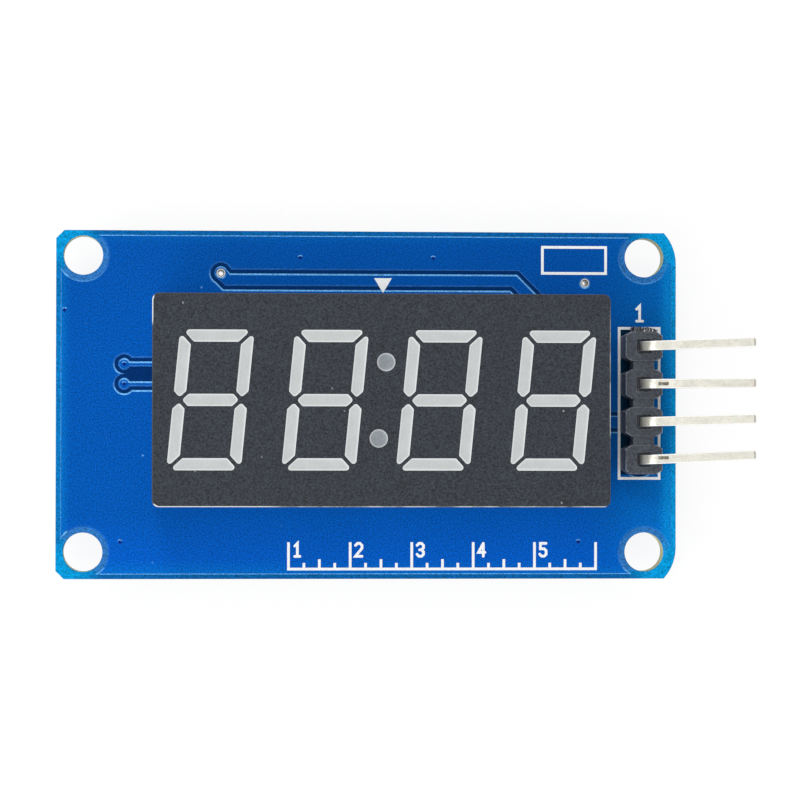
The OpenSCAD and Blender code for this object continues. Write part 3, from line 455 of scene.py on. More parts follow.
def metal(name, tone, dull, roughness, grain_mm, streak=(1, 1, 1), painted_shade_in_bores=False):
    """Plated metal with drawn streaks, cloudy gloss and dull patches. Where asked, bores through the board
    and the open vias get dark painted shade.
    """
    finish = Finish(name, roughness[0], metallic=1.0)
    streaks = finish.speckle(grain_mm, 3, finish.stretched(*streak))
    clouds = finish.speckle(0.7, 3)
    base = finish.shade(finish.shade(tone, clouds, 0.9, 1.04), streaks, 0.92, 1.06)
    base = finish.mix(finish.spread(clouds, 0.58, 0.72, 0, 0.6, True), base, dull)
    if painted_shade_in_bores:
        _, _, z = finish.axes()
        # Painted shade: metal inside the board's bores and at the open vias is made near black.
        dark = finish.largest(
            finish.ramp(finish.gap(z, BOARD_FRONT / 2), 0, 0.7, 0.77, 1, 0),
            *(finish.near((*place, 0), 0.205 * MM, 0.245 * MM) for place in OPEN_VIAS),
        )
        base = finish.mix(dark, base, screen(24, 30, 36))
    gloss = (finish.math("ADD", streaks, clouds), 0.7, 1.35, *roughness)
    return finish.finished(base, gloss, (streaks, 0.004, 0.8))


def black_coat(looks):
    """Matte silk-screened coat with a sandy grain."""
    finish = Finish("black_coat", 0.72, specular=0.32)
    sand = finish.speckle(0.12, 1)
    clouds = finish.speckle(6, 2)
    dust = finish.spread(finish.cells(1.8), 0.02, 0.05, 0.7, 0)
    tone = finish.shade(finish.shade(looks.coat, clouds, 0.95, 1.06), sand, 0.0, 2.1)
    tone = finish.mix(dust, tone, screen(176, 178, 184))
    return finish.finished(tone, (sand, 0.3, 0.7, 0.6, 0.82), (sand, 0.008, 0.7))


def white_housing(looks):
    """White moulding, whose uppermost edge carries worn overspray of the coat."""
    finish = Finish("white_housing", 0.5)
    _, _, z = finish.axes()
    grain = finish.speckle(0.08, 2)
    flow = finish.speckle(2.5, 2, finish.stretched(1, 1, 0.35))
    worn = finish.speckle(1.6, 3, rough=0.62)
    tint = finish.speckle(0.8, 2, finish.stretched(1, 1, 0.2))
    tone = finish.shade(finish.shade(looks.housing, flow, 0.95, 1.03), grain, 0.97, 1.02)
    tone = finish.mix(finish.spread(tint, 0.55, 0.8, 0, 0.12), tone, screen(190, 186, 170))
    thin = finish.largest(
        finish.near((DISPLAY_HIGH.x, 1.4 * MM, 0), 3.6 * MM, 4.8 * MM, (12, 0.9, 0)),
        finish.near((0, DISPLAY_LOW.y, 0), 15.5 * MM, 17 * MM, (1, 80, 0)),
    )
    chipped = finish.largest(
        finish.spread(worn, 0.7, 0.73),
        finish.near((DISPLAY_LOW.x, DISPLAY_HIGH.y - 1.0 * MM, 0), 0.45 * MM, 0.75 * MM, (3, 0.6, 0)),
        finish.near((DISPLAY_LOW.x + 3.6 * MM, DISPLAY_LOW.y, 0), 3.9 * MM, 5.6 * MM, (1, 16, 0)),
        finish.times(thin, finish.spread(worn, 0.38, 0.6, 0.1, 0.8)),
    )
    ragged = finish.spread(finish.speckle(0.4, 3), 0.3, 0.7, -0.05 * MM, 0.05 * MM)
    ragged = finish.math("ADD", z, ragged)
    high = finish.ramp(ragged, DISPLAY_HIGH.z, -0.14, -0.08)
    sprayed = finish.times(high, finish.math("SUBTRACT", 1.0, chipped))
    tone = finish.mix(sprayed, tone, looks.coat)
    gloss = (grain, 0.3, 0.7, 0.4, 0.58)
    return finish.finished(tone, gloss, (flow, 0.02, 0.3), (grain, 0.006, 0.5))


def milky_resin(looks, name, body, rim_share, haze_mm, depth):
    """Cast resin with diffusing powder: cloudy inside, lighter along its outline."""
    finish = Finish(name, 0.34)
    haze = finish.speckle(haze_mm, 3)
    powder = finish.speckle(0.09, 2)
    tone = finish.shade(finish.shade(body, haze, 1 - depth, 1 + depth), powder, 0.93, 1.05)
    rim = finish.times(finish.spread(finish.attribute("rim"), 0.15, 1, 0, 1, True), rim_share)
    tone = finish.mix(rim, tone, looks.segment_rim)
    gloss = (haze, 0.3, 0.7, 0.26, 0.42)
    return finish.finished(tone, gloss, (haze, 0.02, 0.35), (powder, 0.003, 0.5))


def woven_laminate(looks):
    """Bare glass cloth laminate, with its weave showing through."""
    finish = Finish("carrier_laminate", 0.55)
    x, y, _ = finish.axes()
    weave = finish.times(*(finish.math("SINE", finish.times(across, WEAVE)) for across in (x, y)))
    fibres = finish.speckle(0.08, 3)
    base = finish.shade(looks.carrier, finish.spread(weave, -1, 1, 0.25, 0.75), 0.92, 1.05)
    tone = finish.shade(base, fibres, 0.94, 1.04)
    return finish.finished(tone, None, (fibres, 0.005, 0.4), (weave, 0.01, 0.6))


def light_crystal(looks):
    """A light emitting chip: a yellow crystal with darker facets."""
    finish = Finish("light_chip", 0.3)
    facets = finish.cells(0.06)
    tone = finish.mix(finish.spread(facets, 0, 0.5, 0.35, 0, True), looks.chip, screen(120, 84, 30))
    tone = finish.shade(tone, finish.speckle(0.04, 2), 0.9, 1.08)
    return finish.finished(tone, None, (facets, 0.006, 0.4))


def black_plastic(looks):
    """Glass-filled plastic of the strip: fine scuffs, rubbed edges that are partly a painted highlight, and
    torn ends made near black with pale painted glints.
    """
    finish = Finish("black_strip", 0.5)
    grain = finish.speckle(0.14, 2)
    scuffs = finish.speckle(0.16, 3, finish.stretched(1, 0.16, 1, 0.25))
    clouds = finish.speckle(1.4, 2)
    torn = finish.attribute("torn")
    patches = finish.spread(finish.speckle(0.16, 3), 0.42, 0.6, 0.1, 1.0)
    tone = finish.shade(finish.shade(looks.strip, clouds, 0.92, 1.08), grain, 0.1, 1.9)
    tone = finish.mix(finish.spread(scuffs, 0.66, 0.8, 0, 0.2), tone, looks.strip_wear_and_highlight)
    # The torn slivers are made near black.
    tone = finish.mix(finish.times(torn, 0.8), tone, screen(14, 14, 17))
    # pale is the wear and highlight colour on the strip, and white painted glints on the torn slivers.
    pale = finish.mix(torn, looks.strip_wear_and_highlight, screen(226, 228, 230))
    tone = finish.mix(finish.times(finish.attribute("worn"), patches), tone, pale)
    gloss = (finish.math("ADD", grain, scuffs), 0.7, 1.4, 0.36, 0.62)
    return finish.finished(tone, gloss, (scuffs, 0.01, 0.4), (grain, 0.008, 0.6))


def header_metal(looks):
    """Tin-plated brass: drawn along the pin, with painted shade in and just above the strip, painted
    highlights on its long edges, darker cut ends and a tool mark on two pins.
    """
    finish = Finish("header_metal", 0.34, metallic=1.0)
    drawn = finish.speckle(0.05, 3, finish.stretched(0.12, 1, 0.12))
    clouds = finish.speckle(0.9, 3)
    mottle = finish.spread(finish.speckle(0.16, 2), 0.5, 0.7, 0, 0.55)
    tone = finish.shade(finish.shade(looks.pin, clouds, 0.9, 1.05), drawn, 0.92, 1.06)
    tone = finish.mix(mottle, tone, screen(212, 196, 172))
    # Painted highlight: the rounded long edges are painted near white.
    tone = finish.mix(finish.attribute("edge"), tone, screen(255, 255, 252))
    x, y, z = finish.axes()
    lanes = []
    for low, high in map(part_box, MARKED_PINS):
        across = finish.gap(y, (low.y + high.y) / 2 - 0.03 * MM)
        lanes.append(finish.ramp(across, 0, 0.09, 0.13, 1, 0))
    along = finish.ramp(finish.gap(x, STRIP_HIGH.x - 0.1 * MM), 0, 0.3, 0.42, 1, 0)
    patches = finish.spread(finish.speckle(0.14, 2), 0.35, 0.6, 0.7, 1)
    marks = finish.times(finish.times(finish.largest(*lanes), along), patches)
    # Painted shade darkens the pin from 0.5 mm above the strip's top downwards; the cut ends are darker
    # metal.
    painted_shade_by_strip = finish.ramp(z, STRIP_HIGH.z, -0.1, 0.5, 0.75, 0, True)
    dark = finish.largest(painted_shade_by_strip, finish.times(finish.attribute("cut"), 0.35))
    tone = finish.mix(dark, tone, screen(96, 92, 78))
    tone = finish.mix(marks, tone, looks.pin_shade)
    gloss = (finish.math("ADD", drawn, clouds), 0.7, 1.35, 0.3, 0.46)
    return finish.finished(tone, gloss, (finish.times(marks, -1.0), 0.03, 0.8), (drawn, 0.005, 0.7))


def moulded_epoxy(looks):
    """Epoxy of the chip: matte and sandy, with small glints."""
    finish = Finish("moulded_epoxy", 0.7, specular=0.4)
    sand = finish.speckle(0.07, 3)
    clouds = finish.speckle(2.2, 2)
    glints = finish.spread(finish.cells(0.22), 0, 0.12, 0.3, 0)
    tone = finish.shade(finish.shade(looks.epoxy, clouds, 0.85, 1.12), sand, 0.75, 1.3)
    tone = finish.mix(glints, tone, screen(112, 112, 116))
    return finish.finished(tone, (sand, 0.3, 0.7, 0.55, 0.82), (sand, 0.012, 0.8))


def ceramic(name, tone, fleck, roughness):
    """Fired ceramic with flecks and a slightly wavy skin."""
    finish = Finish(name, roughness[0])
    body = finish.speckle(0.09, 3)
    waves = finish.speckle(0.5, 2)
    flecks = finish.spread(finish.cells(0.16), 0, 0.18, 0.35, 0)
    base = finish.shade(finish.shade(tone, waves, 0.93, 1.05), body, 0.9, 1.08)
    gloss = (body, 0.3, 0.7, *roughness)
    return finish.finished(finish.mix(flecks, base, fleck), gloss, (waves, 0.02, 0.3), (body, 0.006, 0.6))


def solder_metal(looks):
    """Solder that froze in soft ripples, with a trace of amber flux."""
    finish = Finish("solder", 0.2, metallic=1.0)
    ripples = finish.speckle(0.22, 2)
    grain = finish.speckle(0.05, 2)
    flux = finish.spread(finish.speckle(0.5, 2), 0.6, 0.75, 0, 0.3, True)
    tone = finish.shade(looks.solder, ripples, 0.92, 1.04)
    tone = finish.mix(flux, tone, screen(190, 160, 104))
    gloss = (finish.math("ADD", ripples, grain), 0.7, 1.4, 0.14, 0.36)
    return finish.finished(tone, gloss, (ripples, 0.02, 0.4), (grain, 0.003, 0.5))


def open_copy(node, whole_faces=False):
    """A CAD node's mesh as a bmesh, with its loose triangles joined, and flat areas made one face each."""
    bm = bmesh.new()
    bm.from_mesh(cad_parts[node].data)
    bmesh.ops.remove_doubles(bm, verts=bm.verts, dist=SAME_PLACE)
    if whole_faces:
        bmesh.ops.dissolve_limit(bm, angle_limit=math.radians(0.4), verts=bm.verts, edges=bm.edges)
    return bm


def round_edges(bm, width, segments, degrees, where=None):
    """Rounds the edges that turn by more than this angle, and returns the new faces."""
    limit = math.radians(degrees)
    edges = [
        e for e in bm.edges
        if len(e.link_faces) == 2 and e.calc_face_angle(0) > limit and (where is None or where(e))
    ]
    made = bmesh.ops.bevel(
        bm, geom=edges, offset=width, offset_type="OFFSET", segments=segments, profile=0.5,
        affect="EDGES", clamp_overlap=True, material=-1,
    )["faces"]
    bmesh.ops.dissolve_degenerate(bm, dist=COLLAPSED, edges=bm.edges)
    return [f for f in made if f.is_valid]


def new_object(name, bm, materials):
    mesh = bpy.data.meshes.new(name)
    bm.to_mesh(mesh)
    bm.free()
    for material in materials:
        mesh.materials.append(material)
    made = bpy.data.objects.new(name, mesh)
    bpy.context.scene.collection.objects.link(made)
    return made


def close_piece(bm, name, node, materials, smooth_degrees, even=True):
    """Makes the piece's object, which stands for its CAD node and rides on the root body."""
    for face in bm.faces:
        face.smooth = True
    for edge in bm.edges:
        edge.smooth = len(edge.link_faces) != 2 or edge.calc_face_angle(0) < math.radians(smooth_degrees)
    piece = new_object(name, bm, materials)
    if even:
        weigh = piece.modifiers.new("even_shading", "WEIGHTED_NORMAL")
        weigh.keep_sharp = True
        weigh.weight = 80
    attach(piece, "root")
    if node:
        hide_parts(node)


def dress(node, suffix, material, smooth_degrees, rounding=None):
    """Makes a node's piece of one material, with its edges rounded as round_edges takes it."""
    bm = open_copy(node, bool(rounding))
    if rounding:
        round_edges(bm, *rounding)
    close_piece(bm, f"{node}_{suffix}", node, [material], smooth_degrees)


def finish_node(node, material):
    """Gives a CAD node, whose shape stays as it is, its finished material."""
    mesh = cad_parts[node].data
    if not mesh.materials:
        mesh.materials.append(material)
    for index in range(len(mesh.materials)):
        mesh.materials[index] = material


def level_faces(bm, z):
    """The faces of a piece that lie flat at height z."""
    return [f for f in bm.faces if all(abs(v.co.z - z) < LEVEL for v in f.verts)]


def slope_outline(bm, faces, run, drop, up):
    """Slopes the outline of flat faces down to their edge, and returns the sloping faces."""
    ring = bmesh.ops.inset_region(
        bm, faces=faces, thickness=run, depth=0, use_even_offset=True, use_boundary=True
    )["faces"]
    kept = {v for f in faces for v in f.verts}
    roots = {}
    for edge in {e for f in ring for e in f.edges}:
        inside = [v for v in edge.verts if v in kept]
        if len(inside) == 1:
            roots[inside[0]] = edge.other_vert(inside[0]).co.copy()
    for vert, root in roots.items():
        reach = (vert.co - root).length
        if reach > 2 * run:
            vert.co = root + (vert.co - root) * 2 * run / reach
    # Where the slopes of a tight corner cross, its vertices go back until no face is turned over.
    for _ in range(40):
        bm.normal_update()
        crossed = {v for f in (*faces, *ring) if f.normal.z * up < 0.5 for v in f.verts if v in roots}
        if not crossed:
            break
        for vert in crossed:
            vert.co = roots[vert] + (vert.co - roots[vert]) * 0.7
    for vert in {v for f in ring for v in f.verts} - kept:
        vert.co.z -= up * drop
    bm.normal_update()
    return ring


class ModuleOperator:
    """What the operators share: they can be undone, and they read the scene's settings."""

    bl_options = {"REGISTER", "UNDO"}

    def execute(self, context):
        scene = context.scene
        self.build(scene.module_board, scene.module_display, scene.module_parts, scene.module_stage)
        return {"FINISHED"}


class DressLaminate(ModuleOperator, bpy.types.Operator):
    """Board laminate: mask on both faces, bare glass and resin on the cut sides"""

    bl_idname = "display_module.laminate"
    bl_label = "Board laminate"

    def build(self, board, display, parts, stage):
        bm = open_copy("circuit_board")
        for z, up in ((BOARD_HIGH.z, 1), (BOARD_LOW.z, -1)):
            slope_outline(bm, level_faces(bm, z), board.edge_round, board.edge_round * 0.7, up)
        for face in bm.faces:
            face.material_index = 0 if abs(face.normal.z) > 0.3 else 1
        materials = [mask_over_laminate(board), cut_laminate(board)]
        close_piece(bm, "board_laminate", "circuit_board", materials, 12)


class DressCopper(ModuleOperator, bpy.types.Operator):
    """Copper of both faces, with the mask sloping down over every edge"""

    bl_idname = "display_module.copper"
    bl_label = "Masked copper"

    def build(self, board, display, parts, stage):
        material = mask_over_copper(board)
        for node, z, up in (("front_copper", BOARD_FRONT, 1), ("back_copper", BOARD_BACK, -1)):
            bm = open_copy(node)
            thin = bm.faces.layers.float.new("thin")
            # Each slope's thin value holds the thin mask's paleness together with a painted highlight.
            for face in slope_outline(bm, level_faces(bm, z), board.slope_run, board.slope_drop, up):
                face[thin] = self.thin_mask_and_painted_highlight(face)
            if up > 0:
                self.raise_vias(bm)
            close_piece(bm, f"{node}_mask", node, [material], 12)

    @staticmethod
    def thin_mask_and_painted_highlight(face):
        """How pale a slope of the mask is painted: partly for the thin mask over a copper edge, and partly
        as a painted highlight, most where the slope faces the upper edge.
        """
        flat = face.normal.xy.normalized() if face.normal.xy.length > LEVEL else Vector((0, 0))
        middle = face.calc_center_median()
        pale = 0.12 + 0.88 * max(0, 0.9 * flat.y + 0.25 * flat.x)
        beside_edge = 0.8 * MM
        if BOARD_HIGH.x - middle.x < beside_edge:
            return 0.1
        if min(middle.x - BOARD_LOW.x, middle.y - BOARD_LOW.y) < beside_edge:
            return max(pale, 0.35 - 0.75 * min(0, flat.y))
        if Vector((abs(middle.x) - HOLE_X, abs(middle.y) - HOLE_Y)).length < RING_R + 0.5 * MM:
            return pale * 0.4
        return pale

    @staticmethod
    def raise_vias(bm):
        """Low rings of mask over the closed vias, each with a purplish dimple and a painted highlight on the
        side towards the upper edge.
        """
        plug, thin = bm.faces.layers.float.new("plug"), bm.faces.layers.float["thin"]
        slack = 0.001 * MM
        for place in VIA_PLACES:
            verts = [
                bm.verts.new((place.x + r * MM, place.y, BOARD_FRONT + z * MM)) for r, z in VIA_PROFILE
            ]
            edges = [bm.edges.new(pair) for pair in zip(verts, verts[1:])]
            bmesh.ops.spin(
                bm, geom=verts + edges, cent=(*place, BOARD_FRONT), axis=(0, 0, 1), dvec=(0, 0, 0),
                angle=math.tau, steps=24, use_merge=True,
            )
            ring = [
                f for f in bm.faces
                if all((v.co.xy - place).length < VIA_R + slack for v in f.verts)
                and all(v.co.z > BOARD_FRONT - VIA_SUNK - slack for v in f.verts)
            ]
            poles = list(dict.fromkeys(v for f in ring for v in f.verts))
            bmesh.ops.remove_doubles(bm, verts=poles, dist=1e-8)
            ring = [f for f in ring if f.is_valid]
            bmesh.ops.recalc_face_normals(bm, faces=ring)
            for face in ring:
                away = face.calc_center_median().xy - place
                face[plug] = 1.0 if away.length < VIA_DIMPLE_R else 0.0
                # Painted highlight: ring faces on the side towards the upper edge are painted pale.
                lit = away.length > VIA_DIMPLE_R and away.y > 0.4 * away.length
                face[thin] = 0.8 if lit else 0.0


class DressPlating(ModuleOperator, bpy.types.Operator):
    """Tinned metal of the plated holes, the vias and the surface pads"""

    bl_idname = "display_module.plating"
    bl_label = "Plated holes and pads"

    def build(self, board, display, parts, stage):
        tin = metal("tinned_copper", board.tin, screen(170, 168, 158), (0.24, 0.44), 0.06, painted_shade_in_bores=True)
        for node in ("hole_plating", "via_plating", "surface_pads"):
            dress(node, "tinned", tin, 30)


class DressPrint(ModuleOperator, bpy.types.Operator):
    """White print of both faces"""

    bl_idname = "display_module.print"
    bl_label = "White print"

    def build(self, board, display, parts, stage):
        material = white_print(board)
        for node in ("front_legend", "back_legend"):
            finish_node(node, material)


class DressHousing(ModuleOperator, bpy.types.Operator):
    """Display housing and the black coat on its face"""

    bl_idname = "display_module.housing"
    bl_label = "Display housing"

    def build(self, board, display, parts, stage):
        rounding = (display.face_round, 3, 50, self.on_face_outline)
        dress("display_housing", "moulding", white_housing(display), 35, rounding)
        bm = open_copy("display_face_coat")
        close_piece(bm, "display_face_print", "display_face_coat", [black_coat(display)], 35)

    @staticmethod
    def on_face_outline(edge):
        """Whether an edge lies at the top of the housing and at its outside."""
        middle = (edge.verts[0].co + edge.verts[1].co) / 2
        wall = 0.2 * MM
        inside = (
            DISPLAY_LOW.x + wall < middle.x < DISPLAY_HIGH.x - wall
            and DISPLAY_LOW.y + wall < middle.y < DISPLAY_HIGH.y - wall
        )
        return middle.z > DISPLAY_HIGH.z - 0.1 * MM and not inside


class DressResin(ModuleOperator, bpy.types.Operator):
    """Resin of the segments and dots, sunk a little in the middle of each"""

    bl_idname = "display_module.resin"
    bl_label = "Display resin"

    def build(self, board, display, parts, stage):
        bm = open_copy("display_resin")
        rim = bm.verts.layers.float.new("rim")
        face_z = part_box("display_face_coat")[1].z
        tops = level_faces(bm, face_z)
        if len(tops) < 30:
            raise RuntimeError(f"the resin shows {len(tops)} faces, and not the 30 of its segments and dots")
        for vert in {v for f in tops for v in f.verts}:
            vert[rim] = 1.0
        height = face_z
        for depth, share in ((display.hollow_depth, 0.3), (display.hollow_depth * 0.4, 0.0)):
            bmesh.ops.inset_region(
                bm, faces=tops, thickness=display.hollow_run, depth=-depth, use_even_offset=True,
                use_boundary=True,
            )
            crowded = dict.fromkeys(v for f in tops for v in f.verts if not self.in_dot(v.co))
            bmesh.ops.remove_doubles(bm, verts=list(crowded), dist=0.1 * MM)
            height -= depth
            tops = level_faces(bm, height)
            for vert in {v for f in tops for v in f.verts}:
                vert[rim] = share
        for face in bm.faces:
            middle = face.calc_center_median()
            face.material_index = 1 if self.in_dot(middle) and middle.z > face_z - DOT_DEPTH else 0
        materials = [
            milky_resin(display, "milky_resin", display.segment, 0.75, 1.1, 0.05),
            milky_resin(display, "dot_resin", display.dot, 0.5, 0.5, 0.22),
        ]
        close_piece(bm, "display_resin_casting", "display_resin", materials, 50)

    @staticmethod
    def in_dot(point):
        """Whether a point lies in one of the colon's dots, seen from the front."""
        return any((point.xy - place).length < DOT_REACH for place in DOT_PLACES)


class DressInsides(ModuleOperator, bpy.types.Operator):
    """Carrier board and light emitting chips inside the display"""

    bl_idname = "display_module.insides"
    bl_label = "Inside the display"

    def build(self, board, display, parts, stage):
        finish_node("led_carrier_board", woven_laminate(display))
        crystal = light_crystal(display)
        for node in LIGHT_CHIPS:
            finish_node(node, crystal)


class DressDisplayPins(ModuleOperator, bpy.types.Operator):
    """Round tinned pins of the display"""

    bl_idname = "display_module.display_pins"
    bl_label = "Display pins"

    def build(self, board, display, parts, stage):
        tin = metal("tinned_pin", parts.display_pin, screen(160, 156, 144), (0.2, 0.36), 0.04, (1, 1, 0.1))
        for node in DISPLAY_PINS:
            dress(node, "tinned", tin, 30)


class DressStrip(ModuleOperator, bpy.types.Operator):
    """Header strip with rubbed edges, partly a painted highlight, and the torn plastic at its snapped end"""

    bl_idname = "display_module.strip"
    bl_label = "Header strip"

    def build(self, board, display, parts, stage):
        material = black_plastic(parts)
        bm = open_copy("header_strip", True)
        worn = bm.faces.layers.float.new("worn")
        # The worn value marks rounded edges, painted pale partly as wear and partly as a painted highlight.
        for face in round_edges(bm, parts.strip_round, 2, 25, self.off_the_board):
            on_long_side = abs(face.calc_center_median().x - STRIP_X) > 0.85 * MM
            face[worn] = 1.0 if on_long_side else 0.4
        close_piece(bm, "header_strip_moulding", "header_strip", [material], 40)
        self.tear(material)

    @staticmethod
    def off_the_board(edge):
        return edge.verts[0].co.z > BOARD_FRONT + 0.1 * MM

    def tear(self, material):
        """Curled slivers of plastic along the top of the snapped end, near black with painted glints."""
        bm = bmesh.new()
        worn, torn = (bm.verts.layers.float.new(name) for name in ("worn", "torn"))
        end_y, top_z = STRIP_HIGH.y - 0.3 * MM, STRIP_HIGH.z - 0.1 * MM
        # Each sliver's start along X, span, rise and width in millimetres, and its own seed.
        slivers = (
            (-0.55, 0.8, 0.12, 0.16, 1), (-0.2, 0.7, -0.04, 0.12, 2), (0.2, 0.6, 0.08, 0.12, 3),
            (-0.05, 1.0, 0.02, 0.08, 4), (-0.8, 1.7, -0.2, 0.2, 5),
        )
        for start, span, rise, width, seed in slivers:
            made = bmesh.ops.create_grid(bm, x_segments=16, y_segments=2, size=0.5)["verts"]
            for vert in made:
                along, across = vert.co.x + 0.5, vert.co.y
                taper = math.sin(math.pi * min(max(along, 0.03), 0.97)) ** 0.5
                drift = noise.noise(Vector((along * 3.1, seed * 7.3, 0)))
                ragged = noise.noise(Vector((along * 9, across * 2, seed * 3.7)))
                curl = noise.noise(Vector((along * 2.2, seed * 5.1, 4)))
                vert.co = Vector((
                    STRIP_X + (start + along * span) * MM,
                    end_y + (0.16 * drift + across * width * taper * 2.2 + 0.05 * ragged) * MM,
                    top_z + (rise + 0.12 * curl + 0.3 * across * drift + 0.06 * ragged) * MM,
                ))
                # On the slivers, worn marks the pale patches, which are painted glints.
                vert[worn] = max(0, 4.0 * ragged - 0.35)
                vert[torn] = 1.0
            sheet = list(dict.fromkeys(f for v in made for f in v.link_faces))
            bmesh.ops.solidify(bm, geom=sheet, thickness=0.045 * MM)
        bmesh.ops.recalc_face_normals(bm, faces=bm.faces)
        close_piece(bm, "header_strip_tear", None, [material], 60, even=False)


class DressHeaderPins(ModuleOperator, bpy.types.Operator):
    """Square header pins with rounded edges, which carry a painted highlight"""

    bl_idname = "display_module.header_pins"
    bl_label = "Header pins"

    def build(self, board, display, parts, stage):
        material = header_metal(parts)
        for node in HEADER_PINS:
            bm = open_copy(node, True)
            cut, edge = (bm.faces.layers.float.new(name) for name in ("cut", "edge"))
            tip_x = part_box(node)[1].x - PIN_TIP
            for face in bm.faces:
                face[cut] = float(face.calc_center_median().x > tip_x and abs(face.normal.z) < 0.9)
            # The edge value marks where the painted highlight goes: rounded faces on the long sides, short
            # of the tip.
            for face in round_edges(bm, parts.pin_round, 2, 22):
                face[edge] = 0.9 * (abs(face.normal.y) > 0.3 and face.calc_center_median().x < tip_x)
            close_piece(bm, f"{node}_plated", node, [material], 50)


class DressDriver(ModuleOperator, bpy.types.Operator):
    """Driver chip: moulded body and formed leads"""

    bl_idname = "display_module.driver_chip"
    bl_label = "Driver chip"

    def build(self, board, display, parts, stage):
        epoxy = moulded_epoxy(parts)
        bm = open_copy("driver_chip_body", True)
        round_edges(bm, parts.body_round, 3, 30, self.off_the_leads)
        bmesh.ops.triangulate(bm, faces=[f for f in bm.faces if len(f.verts) > 4])
        close_piece(bm, "driver_chip_moulding", "driver_chip_body", [epoxy], 45)
        tin = metal("lead_metal", parts.display_pin, screen(150, 146, 134), (0.2, 0.38), 0.05, (0.15, 1, 1))
        dress("driver_chip_leads", "formed", tin, 45, (parts.lead_round, 2, 40))

    @staticmethod
    def off_the_leads(edge):
        """Whether an edge of the body is a long one and not one of the slots that hold the leads."""
        middle = (edge.verts[0].co + edge.verts[1].co) / 2
        away = middle - (DRIVER_LOW + DRIVER_HIGH) / 2
        half_w = (DRIVER_HIGH.x - DRIVER_LOW.x) / 2
        in_slot = abs(away.z) < 0.2 * MM and abs(away.x) > half_w - 0.6 * MM
        return not in_slot and edge.calc_length() > 0.2 * MM


class DressChipParts(ModuleOperator, bpy.types.Operator):
    """Chip capacitors and resistors, and their metal ends"""

    bl_idname = "display_module.chip_parts"
    bl_label = "Chip parts"

    def build(self, board, display, parts, stage):
        satin, glossy = (0.4, 0.6), (0.12, 0.26)
        for node, slot, tone, fleck, roughness in (
            ("capacitor_bodies", "brown_ceramic", parts.brown, screen(120, 88, 54), satin),
            ("resistor_bodies", "white_ceramic", parts.white, screen(190, 186, 172), satin),
            ("resistor_coats", "dark_glaze", parts.glaze, screen(60, 60, 68), glossy),
        ):
            material = ceramic(slot, tone, fleck, roughness)
            dress(node, "finished", material, 45, (parts.ceramic_round, 2, 40))
        tin = metal("chip_end_metal", board.tin, screen(176, 172, 160), (0.26, 0.46), 0.07)
        for node in ("capacitor_ends", "resistor_ends"):
            dress(node, "finished", tin, 45, (parts.end_round, 2, 40, self.on_outside))

    @staticmethod
    def on_outside(edge):
        """Whether an edge of a metal end lies outside and away from the thin rim of its cup."""
        rim_area = 0.15 * MM * MM
        return edge.is_convex and min(f.calc_area() for f in edge.link_faces) > rim_area


class DressSolder(ModuleOperator, bpy.types.Operator):
    """Solder cones of the pins and fillets of the surface parts"""

    bl_idname = "display_module.solder"
    bl_label = "Solder"

    def build(self, board, display, parts, stage):
        material = solder_metal(parts)
        for node in ("display_pin_solder", "header_pin_solder"):
            dress(node, "joints", material, 50)
        for node in ("driver_chip_solder", "chip_part_solder"):
            dress(node, "joints", material, 50, (parts.lead_round, 2, 50))


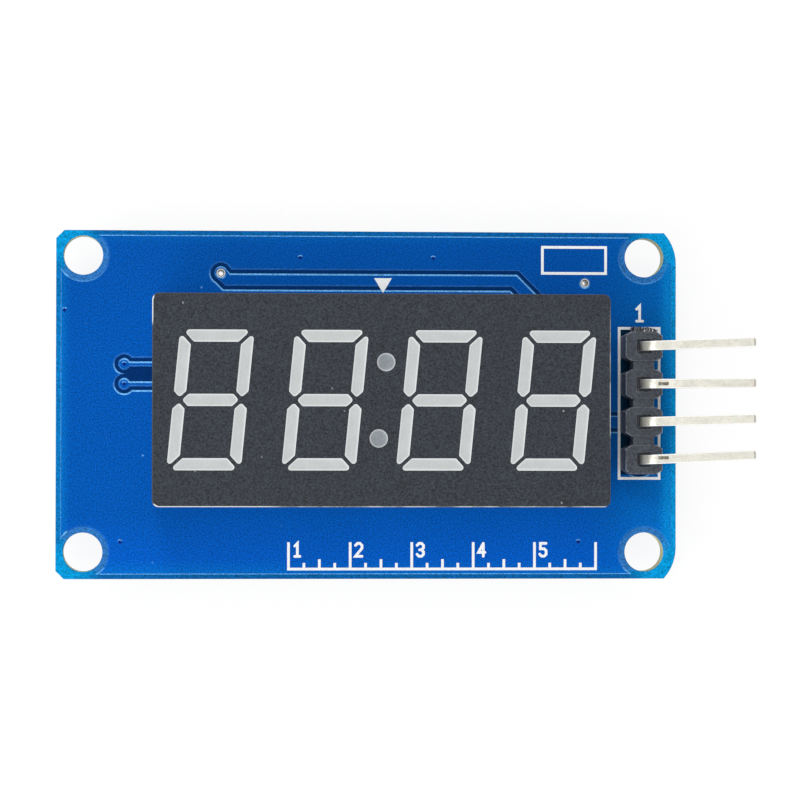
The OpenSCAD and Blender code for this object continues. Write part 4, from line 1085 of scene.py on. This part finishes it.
class SetStage(ModuleOperator, bpy.types.Operator):
    """Pale floor, soft light and the camera"""

    bl_idname = "display_module.stage"
    bl_label = "Stage"

    def build(self, board, display, parts, stage):
        scene = bpy.context.scene
        self.lay_floor(stage)
        self.light_sky(scene, stage)
        middle = Vector((2 * MM, 0, 4 * MM))
        for name, place, size, power in (
            ("key_lamp", Vector((-0.07, 0.26, 0.34)), 0.1, stage.key),
            ("fill_lamp", Vector((-0.26, -0.2, 0.34)), 0.45, stage.fill),
        ):
            lamp = bpy.data.lights.new(name, "AREA")
            lamp.size, lamp.energy = size, power
            self.stand(scene, name, lamp, place, (middle - place).to_track_quat("-Z", "Y").to_euler())
        camera = bpy.data.cameras.new("photo_camera")
        camera.lens, camera.sensor_width = stage.lens, 36
        camera.clip_start, camera.clip_end = 0.005, 10
        turn = Euler(stage.camera_turn, "XYZ")
        scene.camera = self.stand(scene, "photo_camera", camera, stage.camera_place, turn)
        scene.view_settings.view_transform = "Standard"

    @staticmethod
    def stand(scene, name, data, place, turn):
        """Puts a lamp or the camera in its place."""
        holder = bpy.data.objects.new(name, data)
        holder.location = place
        holder.rotation_euler = turn
        scene.collection.objects.link(holder)
        return holder

    @staticmethod
    def seen_directly(tree):
        """1 for rays that show the backdrop to the camera, a mirror or glass."""
        path = add_node(tree, "ShaderNodeLightPath").outputs
        total = path["Is Camera Ray"]
        for name in ("Is Glossy Ray", "Is Transmission Ray"):
            inputs = {0: total, 1: path[name]}
            total = add_node(tree, "ShaderNodeMath", inputs, operation="MAXIMUM").outputs[0]
        return total

    def lay_floor(self, stage):
        """A wide pale sheet under the module. It is solid from above and open from below."""
        bm = bmesh.new()
        bmesh.ops.create_circle(bm, cap_ends=True, segments=96, radius=2.0)
        bmesh.ops.translate(bm, vec=(0, 0, CAD_BOX[0].z - stage.floor_drop), verts=bm.verts)
        material = bpy.data.materials.new("pale_floor")
        material.use_nodes = True
        tree = material.node_tree
        tree.nodes.clear()
        paper = add_node(tree, "ShaderNodeBsdfDiffuse", {"Color": (*stage.floor, 1)}).outputs[0]
        glow = add_node(tree, "ShaderNodeEmission", {"Color": (1, 1, 1, 1), "Strength": 1.04}).outputs[0]
        share = {0: self.seen_directly(tree), 1: 0.84}
        share = add_node(tree, "ShaderNodeMath", share, operation="MULTIPLY").outputs[0]
        shown = add_node(tree, "ShaderNodeMixShader", {0: share, 1: paper, 2: glow}).outputs[0]
        below = add_node(tree, "ShaderNodeNewGeometry").outputs["Backfacing"]
        clear = add_node(tree, "ShaderNodeBsdfTransparent").outputs[0]
        sheet = add_node(tree, "ShaderNodeMixShader", {0: below, 1: shown, 2: clear}).outputs[0]
        add_node(tree, "ShaderNodeOutputMaterial", {"Surface": sheet})
        new_object("floor", bm, [material])

    def light_sky(self, scene, stage):
        """Even light from all sides, in front of a white backdrop."""
        world = bpy.data.worlds.new("pale_sky")
        world.use_nodes = True
        tree = world.node_tree
        sky = tree.nodes["Background"].inputs
        strength = add_node(tree, "ShaderNodeMix", {0: self.seen_directly(tree), 2: stage.sky, 3: 1.0})
        tree.links.new(strength.outputs[0], sky["Strength"])
        sky["Color"].default_value = (1, 1, 1, 1)
        scene.world = world


OPERATORS = (
    DressLaminate, DressCopper, DressPlating, DressPrint, DressHousing, DressResin, DressInsides,
    DressDisplayPins, DressStrip, DressHeaderPins, DressDriver, DressChipParts, DressSolder, SetStage,
)
SETTINGS = {
    "module_board": BoardLooks, "module_display": DisplayLooks,
    "module_parts": PartLooks, "module_stage": StageSettings,
}


class ModulePanel(bpy.types.Panel):
    """The module's operators and settings in the 3D view's sidebar"""

    bl_idname = "VIEW3D_PT_display_module"
    bl_label = "Display module"
    bl_space_type = "VIEW_3D"
    bl_region_type = "UI"
    bl_category = "Display module"

    def draw(self, context):
        column = self.layout.column(align=True)
        for operator in OPERATORS:
            column.operator(operator.bl_idname)
        for name, group in SETTINGS.items():
            box = self.layout.box()
            box.label(text=group.__doc__)
            for key in group.__annotations__:
                box.prop(getattr(context.scene, name), key)


def register():
    for group in SETTINGS.values():
        bpy.utils.register_class(group)
    for name, group in SETTINGS.items():
        setattr(bpy.types.Scene, name, bpy.props.PointerProperty(type=group))
    for item in (*OPERATORS, ModulePanel):
        bpy.utils.register_class(item)


def unregister():
    for item in (ModulePanel, *reversed(OPERATORS)):
        bpy.utils.unregister_class(item)
    for name in SETTINGS:
        delattr(bpy.types.Scene, name)
    for group in reversed(SETTINGS.values()):
        bpy.utils.unregister_class(group)


def main():
    register()
    for operator in OPERATORS:
        area, name = operator.bl_idname.split(".")
        getattr(getattr(bpy.ops, area), name)()


if __name__ == "__main__":
    main()
